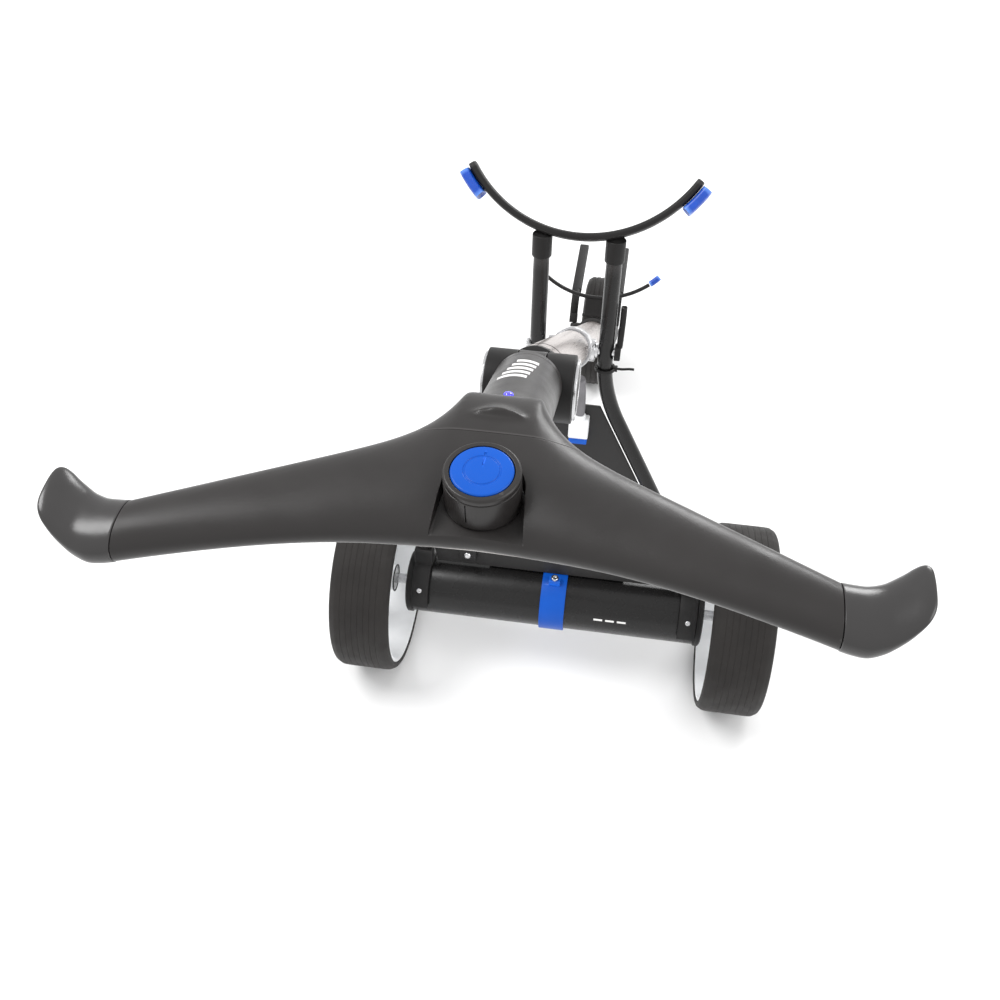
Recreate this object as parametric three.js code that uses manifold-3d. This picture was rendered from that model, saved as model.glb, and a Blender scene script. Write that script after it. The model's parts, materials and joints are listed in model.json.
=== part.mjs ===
// Electric golf trolley: twin-tube rear frame with two tubular gearmotors, a long shaft that
// pivots between the tubes, a gull-wing handle, and two bag cradles. Millimetres, +Z up,
// +Y is the travel direction, X = 0 is the plane of symmetry, Z = 0 is the ground.
import * as THREE from 'three';
import { mergeVertices } from 'three/addons/utils/BufferGeometryUtils.js';
import Module from 'manifold-3d';

const wasm = await Module();
wasm.setup();

// ---------------------------------------------------------------- driving dimensions
const GAP = 0.3;                 // clearance between pieces that touch
const RUN = 0.5;                 // radial clearance of pieces that turn

const REAR_RADIUS = 130;         // rear tyre
const REAR_WIDTH = 82;
const REAR_TRACK_HALF = 250;     // from the centre plane to the middle of a rear wheel
const FRONT_RADIUS = 97;
const FRONT_WIDTH = 50;

const HOUSING_RADIUS = 42;       // tube that holds the two gearmotors
const HOUSING_WALL = 4;
const HOUSING_HALF = 196;

const TUBE_RADIUS = 9;           // frame tubes
const TUBE_HALF_GAP = 40;        // upper, parallel stretch of the frame tubes
const TUBE_FOOT_HALF = 190;      // where the splayed tubes stand on the housing
const BEND_UP = 353;             // height of the bend above the axle, along the tubes
const FRAME_TOP = 530;
const FRAME_LEAN = Math.atan(61 / 544);   // the tubes lean forward by about 6 degrees

const SHAFT_RADIUS = 21;
const SHAFT_WALL = 2.5;
const LINE_Y = -428;             // upper end of the shaft's line, measured from the rear axle
const LINE_Z = 872;
const SHAFT_REACH = 1336;        // down that line to the front axle
const PIVOT_S = 98;              // down that line to the handle pivot
const PIVOT_DROP = 7;            // handle pivot below that line
const SHAFT_SLOPE = Math.asin((LINE_Z - FRONT_RADIUS) / SHAFT_REACH);
const FOLD_Y = 45;               // frame pivot, measured from the rear axle
const FOLD_S = (FOLD_Y - LINE_Y) / Math.cos(SHAFT_SLOPE);
const FOLD_Z = LINE_Z - FOLD_S * Math.sin(SHAFT_SLOPE);

const HANDLE_Y = -558;           // on the speed knob's axis, just below its rim
const HANDLE_Z = 916;
const HANDLE_TILT = THREE.MathUtils.degToRad(5);
const SEAM_X = 186;              // joint between the grips and their end caps

const NECK_Y = -518;             // where the neck leaves the grip
const NECK_Z = 893;
const NECK_RISE = NECK_Z - (LINE_Z - PIVOT_S * Math.sin(SHAFT_SLOPE));
const NECK_RUN = LINE_Y + PIVOT_S * Math.cos(SHAFT_SLOPE) - NECK_Y;
const NECK_LENGTH = Math.hypot(NECK_RISE, NECK_RUN);
const CENTRE_Y = 66.83;          // middle of the whole object, measured from the rear axle

// ---------------------------------------------------------------- materials
const material = (color, roughness, metalness) =>
  new THREE.MeshStandardMaterial({ color, roughness, metalness });
const blackPlastic = () => material(0x3a3837, 0.5, 0.0);
const lipPlastic = () => material(0x9a9794, 0.45, 0.0);
const bluePlastic = () => material(0x1a63d8, 0.4, 0.0);
const blackPaint = () => material(0x2c2a2b, 0.3, 0.2);
const silver = () => material(0xc3b8b2, 0.35, 0.9);
const steel = () => material(0xb8babc, 0.25, 1.0);
const whitePlastic = () => material(0xe6e6e4, 0.4, 0.0);
const tyreRubber = () => material(0x403d3a, 0.75, 0.0);
const ledLens = () => material(0x3a34ff, 0.2, 0.0);
const boardGreen = () => material(0x1e5a34, 0.6, 0.0);

// ---------------------------------------------------------------- geometry helpers

// Merged, welded triangles with the faces turned outward.
function welded(geometry) {
  const bare = geometry.clone();
  bare.deleteAttribute('normal');
  bare.deleteAttribute('uv');
  const merged = mergeVertices(bare, 1e-3);
  const points = merged.attributes.position.array;
  const index = merged.index.array;
  const kept = [];
  let volume = 0;
  const a = new THREE.Vector3();
  const b = new THREE.Vector3();
  const c = new THREE.Vector3();
  for (let i = 0; i < index.length; i += 3) {
    const [p, q, r] = [index[i], index[i + 1], index[i + 2]];
    if (p === q || q === r || r === p) continue;
    kept.push(p, q, r);
    a.fromArray(points, 3 * p);
    b.fromArray(points, 3 * q);
    c.fromArray(points, 3 * r);
    volume += a.dot(b.cross(c));
  }
  if (volume < 0) kept.reverse();
  merged.setIndex(kept);
  return merged;
}

function solid(geometry) {
  const g = welded(geometry);
  const mesh = new wasm.Mesh({
    numProp: 3,
    vertProperties: new Float32Array(g.attributes.position.array),
    triVerts: new Uint32Array(g.index.array),
  });
  return new wasm.Manifold(mesh);
}

function surface(manifold) {
  const mesh = manifold.getMesh();
  const g = new THREE.BufferGeometry();
  g.setAttribute('position', new THREE.BufferAttribute(new Float32Array(mesh.vertProperties), 3));
  g.setIndex([...mesh.triVerts]);
  return g;
}

const join = (...parts) => surface(parts.map(solid).reduce((sum, part) => sum.add(part)));
const cut = (body, ...tools) =>
  surface(tools.map(solid).reduce((rest, tool) => rest.subtract(tool), solid(body)));
const common = (body, tool) => surface(solid(body).intersect(solid(tool)));

function add(parent, name, geometry, look) {
  const mesh = new THREE.Mesh(welded(geometry), look);
  mesh.name = name;
  parent.add(mesh);
  return mesh;
}

// Block between two corners.
function block(x0, x1, y0, y1, z0, z1) {
  const g = new THREE.BoxGeometry(x1 - x0, y1 - y0, z1 - z0);
  return g.translate((x0 + x1) / 2, (y0 + y1) / 2, (z0 + z1) / 2);
}

// Round bar along X between x0 and x1, centred on (y, z).
function barX(radius, x0, x1, y = 0, z = 0, sides = 20) {
  const g = new THREE.CylinderGeometry(radius, radius, Math.abs(x1 - x0), sides).rotateZ(Math.PI / 2);
  return g.translate((x0 + x1) / 2, y, z);
}

// Round bar along Y.
function barY(radius, y0, y1, x = 0, z = 0, sides = 20) {
  return new THREE.CylinderGeometry(radius, radius, y1 - y0, sides).translate(x, (y0 + y1) / 2, z);
}

// Round bar along Z.
function barZ(radius, z0, z1, x = 0, y = 0, sides = 20) {
  const g = new THREE.CylinderGeometry(radius, radius, z1 - z0, sides).rotateX(Math.PI / 2);
  return g.translate(x, y, (z0 + z1) / 2);
}

// Solid of revolution about X. The profile is a list of [x, radius].
function turnedX(profile, sides = 28, side = 1) {
  const points = profile.map(([x, r]) => new THREE.Vector2(r, x * side));
  return new THREE.LatheGeometry(points, sides).rotateZ(-Math.PI / 2);
}

// Ring about X with a rectangular section.
const ringX = (outer, inner, x0, x1, sides = 28, side = 1) =>
  turnedX([[x0, inner], [x0, outer], [x1, outer], [x1, inner], [x0, inner]], sides, side);

// Section swept along a smooth curve: width across, height along the curve's plane normal.
function swept(points, halfWidth, halfHeight, steps, sides = 12) {
  const section = new THREE.Shape();
  section.absellipse(0, 0, halfWidth, halfHeight, 0, Math.PI * 2);
  const options = { steps, curveSegments: sides / 2, bevelEnabled: false };
  options.extrudePath = points instanceof THREE.Curve ? points : new THREE.CatmullRomCurve3(points);
  return new THREE.ExtrudeGeometry(section, options);
}

// Skin over a row of closed rings with equal point counts, closed by a flat cap at each end.
function lofted(rings) {
  const count = rings[0].length;
  const vertices = rings.flat();
  const index = [];
  for (let r = 0; r + 1 < rings.length; r += 1) {
    for (let i = 0; i < count; i += 1) {
      const next = (i + 1) % count;
      const [a, b] = [r * count + i, r * count + next];
      index.push(a, b, a + count, b, b + count, a + count);
    }
  }
  const last = (rings.length - 1) * count;
  for (let i = 1; i + 1 < count; i += 1) {
    index.push(0, i + 1, i);
    index.push(last, last + i, last + i + 1);
  }
  const g = new THREE.BufferGeometry().setFromPoints(vertices);
  g.setIndex(index);
  return g;
}

// Oval ring in the plane x = constant.
function oval(x, y, z, halfDepth, halfHeight, count = 16) {
  const ring = [];
  for (let i = 0; i < count; i += 1) {
    const a = (2 * Math.PI * i) / count;
    ring.push(new THREE.Vector3(x, y + halfDepth * Math.cos(a), z + halfHeight * Math.sin(a)));
  }
  return ring;
}

// Ring about Y between y0 and y1.
const ringY = (outer, inner, y0, y1, sides = 24) => ringX(outer, inner, y0, y1, sides).rotateZ(Math.PI / 2);

// Solid of revolution about Z. The profile is a list of [radius, z].
function turnedZ(profile, sides = 24) {
  const points = profile.map(([r, z]) => new THREE.Vector2(r, z));
  return new THREE.LatheGeometry(points, sides).rotateX(Math.PI / 2);
}

// Geometry carried from one frame's coordinates to another's.
function carried(geometry, from, to) {
  trolley.updateMatrixWorld(true);
  return geometry.applyMatrix4(to.matrixWorld.clone().invert().multiply(from.matrixWorld));
}

const SIDES = [['left', -1], ['right', 1]];

// ---------------------------------------------------------------- frames
const trolley = new THREE.Group();
trolley.position.y = -CENTRE_Y;

const axleFrame = new THREE.Group();      // origin on the rear axle, level
axleFrame.position.z = REAR_RADIUS;
trolley.add(axleFrame);

const tubeFrame = new THREE.Group();      // leans with the frame tubes
tubeFrame.rotation.x = -FRAME_LEAN;
axleFrame.add(tubeFrame);

const shaftFrame = new THREE.Group();     // +Y runs down the shaft's line
shaftFrame.position.set(0, LINE_Y, LINE_Z);
shaftFrame.rotation.x = -SHAFT_SLOPE;
trolley.add(shaftFrame);

const handleFrame = new THREE.Group();    // XY is square to the speed knob's axis
handleFrame.position.set(0, HANDLE_Y, HANDLE_Z);
handleFrame.rotation.x = HANDLE_TILT;
trolley.add(handleFrame);

const neckFrame = new THREE.Group();      // +Y runs down the neck from the grip
neckFrame.position.set(0, NECK_Y, NECK_Z);
neckFrame.rotation.x = -Math.atan2(NECK_RISE, NECK_RUN);
trolley.add(neckFrame);

// ---------------------------------------------------------------- motor housing
const CAP_OUTER = 205;           // outer face of a housing end cap
const CAP_INNER = 186;           // inner end of a housing end cap
const AXLE_RADIUS = 7;
const BEARING_OUTER = 16;
const BEARING_SEAT = 193;
const BAND_HALF = 17;            // clamp band on the middle of the housing
const SCREW_RADIUS = 3;
const SCREW_Y = -11;

function motorHousing() {
  const bore = HOUSING_RADIUS - HOUSING_WALL;
  const tube = ringX(HOUSING_RADIUS, bore, -HOUSING_HALF, HOUSING_HALF, 32);
  add(axleFrame, 'motor_housing', tube, blackPaint());
  const band = ringX(HOUSING_RADIUS + 3.3, HOUSING_RADIUS + GAP, -BAND_HALF, BAND_HALF, 32);
  const boss = block(-8, 8, SCREW_Y - 5, SCREW_Y + 5, HOUSING_RADIUS - 2, HOUSING_RADIUS + 10);
  const screwHole = barZ(SCREW_RADIUS + GAP, 30, 60, 0, SCREW_Y);
  const inside = barX(HOUSING_RADIUS + GAP, -BAND_HALF - 3, BAND_HALF + 3, 0, 0, 32);
  add(axleFrame, 'clamp_band', cut(join(band, boss), screwHole, inside), bluePlastic());
  const headBase = HOUSING_RADIUS + 10 + GAP;
  const screw = join(
    barZ(SCREW_RADIUS, 46, headBase, 0, SCREW_Y, 20),
    barZ(5, headBase, headBase + 3.7, 0, SCREW_Y, 20),
  );
  add(axleFrame, 'clamp_screw', screw, steel());
}

function housingCap(name, side) {
  const plugRadius = HOUSING_RADIUS - HOUSING_WALL - GAP;
  const flange = HOUSING_HALF + GAP;
  const plug = [
    [CAP_INNER, BEARING_OUTER - 4], [CAP_INNER, plugRadius], [flange, plugRadius],
    [flange, HOUSING_RADIUS + 2],
    [CAP_OUTER - 2, HOUSING_RADIUS + 2], [CAP_OUTER, HOUSING_RADIUS - 1], [CAP_OUTER, BEARING_OUTER],
    [BEARING_SEAT, BEARING_OUTER], [BEARING_SEAT, BEARING_OUTER - 4], [CAP_INNER, BEARING_OUTER - 4],
  ];
  add(axleFrame, `housing_cap_${name}`, turnedX(plug, 18, side), blackPlastic());
  const [raceInner, raceOuter] = [AXLE_RADIUS + GAP, BEARING_OUTER - GAP];
  const race = ringX(raceOuter, raceInner, BEARING_SEAT + 0.5, CAP_OUTER - 0.5, 16, side);
  add(axleFrame, `wheel_bearing_${name}`, race, steel());
}

// Tubular gearmotor: a motor can, its armature, and a planetary gear case whose carrier
// drives the output shaft.
const MOTOR_RADIUS = 36;
const MOTOR_INNER = 20;          // end of the can next to the centre plane
const MOTOR_OUTER = 104;
const GEAR_OUTER = 176;
const PINION_RADIUS = 5;
const OUTPUT_END = 279;          // outer end of the output shaft

function gearmotor(name, side) {
  const canWall = 3;
  const canBore = MOTOR_RADIUS - canWall;
  const can = [
    [MOTOR_INNER, PINION_RADIUS], [MOTOR_INNER, MOTOR_RADIUS], [MOTOR_OUTER, MOTOR_RADIUS],
    [MOTOR_OUTER, canBore], [MOTOR_INNER + canWall, canBore], [MOTOR_INNER + canWall, PINION_RADIUS],
    [MOTOR_INNER, PINION_RADIUS],
  ];
  add(axleFrame, `motor_can_${name}`, turnedX(can, 16, side), steel());
  const coreRadius = 26;
  const armature = [
    [12, 0], [12, PINION_RADIUS - 1], [30, PINION_RADIUS - 1], [30, coreRadius], [92, coreRadius],
    [92, PINION_RADIUS], [116, PINION_RADIUS], [116, 0],
  ];
  add(axleFrame, `armature_${name}`, turnedX(armature, 14, side), silver());
  const caseInner = MOTOR_OUTER + 0.5;
  const caseBore = MOTOR_RADIUS - 5;
  const shaftHole = AXLE_RADIUS + RUN + 1;
  const gearCase = [
    [caseInner, 8], [caseInner, MOTOR_RADIUS], [GEAR_OUTER, MOTOR_RADIUS], [GEAR_OUTER, shaftHole],
    [GEAR_OUTER - 4, shaftHole], [GEAR_OUTER - 4, caseBore], [caseInner + 4.5, caseBore],
    [caseInner + 4.5, 8], [caseInner, 8],
  ];
  add(axleFrame, `gear_case_${name}`, turnedX(gearCase, 16, side), blackPaint());
  const [carrierInner, carrierOuter] = [128, 134];
  const carrier = [
    [carrierInner, 0], [carrierInner, coreRadius], [carrierOuter, coreRadius], [carrierOuter, AXLE_RADIUS],
    [OUTPUT_END, AXLE_RADIUS], [OUTPUT_END, 0],
  ];
  add(axleFrame, `output_shaft_${name}`, turnedX(carrier, 16, side), steel());
}

// ---------------------------------------------------------------- rear wheels
const SPOKES = 5;
const TYRE_SEAT = 118;           // radius on which the rear tyre sits
const WEB_X = REAR_TRACK_HALF + 16;
const WEB_THICK = 6;
const BUTTON_RADIUS = 9;

function rearWheel(name, side) {
  const inner = REAR_TRACK_HALF - REAR_WIDTH / 2;
  const outer = REAR_TRACK_HALF + REAR_WIDTH / 2;
  const seat = TYRE_SEAT + GAP;
  const tyre = [
    [inner + 1, seat], [inner, TYRE_SEAT + 4], [inner + 3, REAR_RADIUS - 1.6], [inner + 9, REAR_RADIUS],
    [outer - 9, REAR_RADIUS], [outer - 3, REAR_RADIUS - 1.6], [outer, TYRE_SEAT + 4], [outer - 1, seat],
    [inner + 1, seat],
  ];
  add(axleFrame, `rear_tyre_${name}`, turnedX(tyre, 30, side), tyreRubber());
  const [well, bore] = [TYRE_SEAT - 5, AXLE_RADIUS + GAP];
  const webFace = WEB_X + WEB_THICK;
  const hubFace = WEB_X + 21;
  const buttonFloor = WEB_X + 14;
  const pocket = BUTTON_RADIUS + 0.4;
  const rim = [
    [inner + 2, well], [inner + 2, TYRE_SEAT], [outer - 2, TYRE_SEAT], [outer - 2, well],
    [webFace, well - 2], [webFace, 26], [hubFace - 3, 19], [hubFace, 16], [hubFace, pocket],
    [buttonFloor, pocket], [buttonFloor, bore], [inner + 19, bore], [inner + 19, 17], [WEB_X, 24],
    [WEB_X, well - 2], [inner + 2, well],
  ];
  const window = new THREE.Shape();
  const spread = THREE.MathUtils.degToRad(22);
  window.absarc(0, 0, 98, -spread, spread, false);
  window.absarc(0, 0, 44, spread * 0.62, -spread * 0.62, true);
  const windows = [];
  for (let i = 0; i < SPOKES; i += 1) {
    const opening = new THREE.ExtrudeGeometry(window, { depth: 20, bevelEnabled: false, curveSegments: 2 });
    opening.rotateZ((2 * Math.PI * i) / SPOKES).translate(0, 0, WEB_X - 7).rotateY(Math.PI / 2);
    if (side < 0) opening.rotateY(Math.PI);
    windows.push(opening);
  }
  add(axleFrame, `rear_rim_${name}`, cut(turnedX(rim, 30, side), ...windows), whitePlastic());
  const [buttonBack, buttonFace] = [hubFace - 1.5, hubFace + 6];
  const button = [
    [buttonBack, 0], [buttonBack, BUTTON_RADIUS], [buttonFace - 1, BUTTON_RADIUS],
    [buttonFace, BUTTON_RADIUS - 1.5], [buttonFace, 0],
  ];
  add(axleFrame, `release_button_${name}`, turnedX(button, 20, side), bluePlastic());
}

// ---------------------------------------------------------------- frame tubes and upper cradle
const BOLT_RADIUS = 5;
const X_AXIS = new THREE.Vector3(1, 0, 0);
const foldPoint = new THREE.Vector3(0, FOLD_Y, FOLD_Z - REAR_RADIUS).applyAxisAngle(X_AXIS, FRAME_LEAN);

function frameTube(name, side) {
  const foot = new THREE.Vector3(side * TUBE_FOOT_HALF, 0, HOUSING_RADIUS + 14);
  const corner = new THREE.Vector3(side * TUBE_HALF_GAP, 0, BEND_UP);
  const top = new THREE.Vector3(side * TUBE_HALF_GAP, 0, FRAME_TOP);
  const below = corner.clone().lerp(foot, 0.15);
  const above = corner.clone().lerp(top, 0.24);
  const bend = new THREE.QuadraticBezierCurve3(below, corner, above).getPoints(4);
  const half = new THREE.Vector3().lerpVectors(foot, below, 0.5);
  const high = new THREE.Vector3().lerpVectors(above, top, 0.5);
  const route = new THREE.CatmullRomCurve3([foot, half, ...bend, high, top], false, 'centripetal');
  const hole = barX(BOLT_RADIUS + GAP, side * 20, side * 60, foldPoint.y, foldPoint.z, 16);
  const tube = swept(route, TUBE_RADIUS, TUBE_RADIUS, 14, 10);
  add(tubeFrame, `frame_tube_${name}`, cut(tube, hole), blackPaint());
}

// Foot bracket that ties a frame tube to the housing: a saddle with a socket on top.
function tubeFoot(name, side) {
  const saddle = ringX(HOUSING_RADIUS + 6, HOUSING_RADIUS - 5, 172, 195.5, 32, side);
  const upperHalf = block(-250, 250, -60, 60, -6, 80);
  const socket = block(side * 183 - 13, side * 183 + 13, -13, 13, HOUSING_RADIUS, HOUSING_RADIUS + 28);
  const slope = Math.atan((TUBE_FOOT_HALF - TUBE_HALF_GAP) / (BEND_UP - HOUSING_RADIUS - 14));
  const bore = barZ(TUBE_RADIUS + GAP, -0.5, 90, 0, 0, 20).rotateY(-side * slope);
  bore.translate(side * TUBE_FOOT_HALF, 0, HOUSING_RADIUS + 14);
  const inside = barX(HOUSING_RADIUS + GAP, side * 160, side * 210, 0, 0, 32);
  const bracket = join(common(saddle, upperHalf), socket);
  add(tubeFrame, `tube_foot_${name}`, cut(bracket, bore, inside), blackPlastic());
}

// Cradle bar: an arc in the plane y = station, opening towards +Z, with its lowest point at z = low.
function cradleArc(station, low, radius, from, to, halfThick, halfWide, steps) {
  const points = [];
  for (let i = 0; i <= steps; i += 1) {
    const a = from + ((to - from) * i) / steps;
    points.push(new THREE.Vector3(radius * Math.sin(a), station, low + radius * (1 - Math.cos(a))));
  }
  return swept(points, halfWide, halfThick, steps, 8);
}

const degrees = THREE.MathUtils.degToRad;
const UPPER = { station: 513.2, low: 122.4, radius: 145, end: degrees(57.5) };
const FIN = { thick: 17, from: degrees(45), to: degrees(56.5) };   // pads outside the upper tips
const LOWER = { station: 1150, low: 60, radius: 142, end: degrees(37), tip: degrees(45) };

function upperCradle() {
  const { station, low, radius, end } = UPPER;
  let cradle = cradleArc(station, low, radius, -end, end, 4.5, 13, 14);
  for (const [, side] of SIDES) {
    const boss = barZ(TUBE_RADIUS + 2, FRAME_TOP - 8, FRAME_TOP + 18, side * TUBE_HALF_GAP, 0, 16);
    cradle = join(cradle, carried(boss, tubeFrame, shaftFrame));
  }
  for (const [, side] of SIDES) {
    const bore = barZ(TUBE_RADIUS + GAP, 490, FRAME_TOP + GAP, side * TUBE_HALF_GAP, 0, 20);
    cradle = cut(cradle, carried(bore, tubeFrame, shaftFrame));
  }
  add(shaftFrame, 'upper_cradle', cradle, blackPlastic());
}

// Soft pads on the outer side of the upper cradle's tips.
function upperPads() {
  const outward = 4.5 + GAP + FIN.thick / 2;
  const { station, low, radius } = UPPER;
  for (const [name, side] of SIDES) {
    const pad = cradleArc(
      station, low - outward, radius + outward, side * FIN.from, side * FIN.to, FIN.thick / 2, 15, 4,
    );
    add(shaftFrame, `upper_pad_${name}`, pad, bluePlastic());
  }
}

// Soft pads that carry the lower cradle's bar on to its tips.
function lowerPads() {
  const { station, low, radius, end, tip } = LOWER;
  const start = end + 1 / radius;
  for (const [name, side] of SIDES) {
    const pad = cradleArc(station, low, radius, side * start, side * tip, 5, 9, 3);
    add(shaftFrame, `lower_pad_${name}`, pad, bluePlastic());
  }
}

// ---------------------------------------------------------------- battery and panel
const PANEL_TOP = 330;
const TIE_X = TUBE_HALF_GAP + 0.6;
const TIE_UP = 385;

// Panel between the frame tubes, with the shelf that carries the battery in front of it.
function batteryCarrier() {
  const slope = (TUBE_FOOT_HALF - TUBE_HALF_GAP) / (BEND_UP - HOUSING_RADIUS - 14);
  const clearance = (TUBE_RADIUS + 1.8) * Math.hypot(1, slope);
  const edgeAt = (up) => TUBE_HALF_GAP + (BEND_UP - up) * slope - clearance;
  const bottom = HOUSING_RADIUS + 30;
  const outline = new THREE.Shape();
  outline.moveTo(-edgeAt(bottom), bottom);
  outline.lineTo(-165, HOUSING_RADIUS + 4);
  outline.lineTo(165, HOUSING_RADIUS + 4);
  outline.lineTo(edgeAt(bottom), bottom);
  outline.lineTo(edgeAt(PANEL_TOP), PANEL_TOP);
  outline.lineTo(-edgeAt(PANEL_TOP), PANEL_TOP);
  const panel = new THREE.ExtrudeGeometry(outline, { depth: 4, bevelEnabled: false });
  panel.rotateX(Math.PI / 2).translate(0, 2, 0);
  const saddle = cut(block(-94, 94, 1, 60, 20, 47.5), barX(46.5, -100, 100, 0, 0, 32));
  const lip = block(-94, 94, 56.4, 60, 40, 62);
  add(tubeFrame, 'battery_carrier', join(panel, saddle, lip), blackPlastic());
}

function batteryPack() {
  const shape = new THREE.Shape();
  const [half, low, high, round] = [90, 48, 198, 10];
  shape.moveTo(-half, low + round);
  shape.absarc(-half + round, low + round, round, Math.PI, 1.5 * Math.PI, false);
  shape.absarc(half - round, low + round, round, 1.5 * Math.PI, 2 * Math.PI, false);
  shape.absarc(half - round, high - round, round, 0, 0.5 * Math.PI, false);
  shape.absarc(-half + round, high - round, round, 0.5 * Math.PI, Math.PI, false);
  const pack = new THREE.ExtrudeGeometry(shape, { depth: 52, bevelEnabled: false, curveSegments: 5 });
  pack.rotateX(Math.PI / 2).translate(0, 56, 0);
  add(tubeFrame, 'battery_pack', pack, blackPlastic());
}

// Plug on the rear of the panel, with the lead that runs up to the shaft.
const PLUG_X = 16;
const PLUG_UP = 292.7;
const PLUG_TOP = 318;
const LEAD_START = PLUG_TOP + 6;

function powerLead() {
  const socket = block(PLUG_X - 11, PLUG_X + 11, -18, -2.3, PLUG_UP - 9.7, PLUG_UP - GAP);
  add(tubeFrame, 'power_socket', socket, bluePlastic());
  const body = block(PLUG_X - 12, PLUG_X + 12, -21, -2.3, PLUG_UP, PLUG_TOP);
  const sleeve = barZ(8, PLUG_TOP, LEAD_START, PLUG_X, -12, 16);
  add(tubeFrame, 'power_plug', join(body, sleeve), whitePlastic());
  const lead = new THREE.CatmullRomCurve3([
    new THREE.Vector3(PLUG_X, -12, LEAD_START + 0.6), new THREE.Vector3(PLUG_X, -12, LEAD_START + 14),
    new THREE.Vector3(PLUG_X - 0.6, -15, 359), new THREE.Vector3(PLUG_X - 2, -21, 380),
  ]);
  add(tubeFrame, 'power_lead', swept(lead, 6, 6, 8, 12), material(0x77747a, 0.55, 0.0));
  const tie = ringX(TUBE_RADIUS + 3, TUBE_RADIUS + 1.2, -2, 2, 20).rotateY(Math.PI / 2);
  tie.translate(TIE_X, 0, TIE_UP);
  const tail = block(TIE_X + 10.6, TIE_X + 34, -1, 0.6, TIE_UP - 1.5, TIE_UP + 1.5);
  add(tubeFrame, 'cable_tie', join(tie, tail), blackPlastic());
}

// ---------------------------------------------------------------- shaft and frame pivot
const BARREL_RADIUS = 25;
const BARREL_HALF = 32;
const ROOT_END = PIVOT_S + 29;   // the tube starts just past the barrel's root
const TONGUE_HALF = 10;
const PIN_RADIUS = 5;

function handleBarrel() {
  const [y, z] = [PIVOT_S, -PIVOT_DROP];
  const parts = [
    barY(SHAFT_RADIUS, PIVOT_S + 14, ROOT_END, 0, 0, 20),
    barY(SHAFT_RADIUS - SHAFT_WALL - GAP, PIVOT_S + 20, PIVOT_S + 72, 0, 0, 20),
  ];
  for (const [, side] of SIDES) {
    parts.push(barX(BARREL_RADIUS, side * (TONGUE_HALF + 0.6), side * BARREL_HALF, y, z, 20));
    const ends = [side * (TONGUE_HALF + 0.6), side * SHAFT_RADIUS].sort((a, b) => a - b);
    parts.push(block(...ends, y, ROOT_END, z - 15, 15));
  }
  const bore = barX(PIN_RADIUS + GAP, -40, 40, y, z, 20);
  const room = barX(BARREL_RADIUS + 0.6, -TONGUE_HALF - 0.6, TONGUE_HALF + 0.6, y, z, 20);
  add(shaftFrame, 'handle_barrel', cut(join(...parts), bore, room), blackPlastic());
  const inner = BARREL_HALF + GAP;
  const cap = [[inner, 0], [inner, 22.4], [inner + 2.1, 22.4], [inner + 3.1, 20], [inner + 3.1, 0]];
  const rod = barX(PIN_RADIUS, -BARREL_HALF - 1, BARREL_HALF, y, z, 20);
  const pin = join(rod, turnedX(cap, 20, -1).translate(0, y, z));
  add(shaftFrame, 'handle_pin', pin, steel());
  add(shaftFrame, 'barrel_cap', turnedX(cap, 20).translate(0, y, z), steel());
}

function shaft() {
  const tube = ringY(SHAFT_RADIUS, SHAFT_RADIUS - SHAFT_WALL, ROOT_END + GAP, 1196, 24);
  add(shaftFrame, 'main_shaft', tube, silver());
  const clamp = join(
    barY(24.5, FOLD_S - 24, FOLD_S + 24, 0, 0, 20),
    barX(13, -27.5, 27.5, FOLD_S, 0, 16),
    barX(9, -30.6, 30.6, FOLD_S, 0, 16),
  );
  const bolts = barX(BOLT_RADIUS + GAP, -40, 40, FOLD_S, 0, 16);
  const bore = barY(SHAFT_RADIUS + GAP, FOLD_S - 40, FOLD_S + 40, 0, 0, 20);
  add(shaftFrame, 'frame_clamp', cut(clamp, bore, bolts), steel());
}

// Shoulder bolts on which the frame clamp turns between the tubes.
function framePivot() {
  for (const [name, side] of SIDES) {
    const bolt = join(
      barX(BOLT_RADIUS, side * 22.4, side * 49.4, FOLD_S, 0, 16),
      barX(side < 0 ? 8.5 : 6.5, side * 49.4, side * 53, FOLD_S, 0, side < 0 ? 6 : 20),
    );
    add(shaftFrame, `pivot_bolt_${name}`, bolt, steel());
  }
}

// Locking lever on the right end of the frame pivot. Closed, it lies up along the tube.
function foldLever() {
  const { y, z } = foldPoint;
  const hub = ringX(10, 6.9, 49.9, 55, 24).translate(0, y, z);
  const face = barX(10, 53.4, 57, y, z, 16);
  const arm = swept([
    new THREE.Vector3(55, y, z + 7), new THREE.Vector3(55.6, y + 1, z + 24),
    new THREE.Vector3(56, y + 2.5, z + 42), new THREE.Vector3(56, y + 3, z + 58),
  ], 3.6, 3.6, 4, 8);
  add(tubeFrame, 'fold_lever', join(hub, face, arm), blackPlastic());
}

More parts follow.
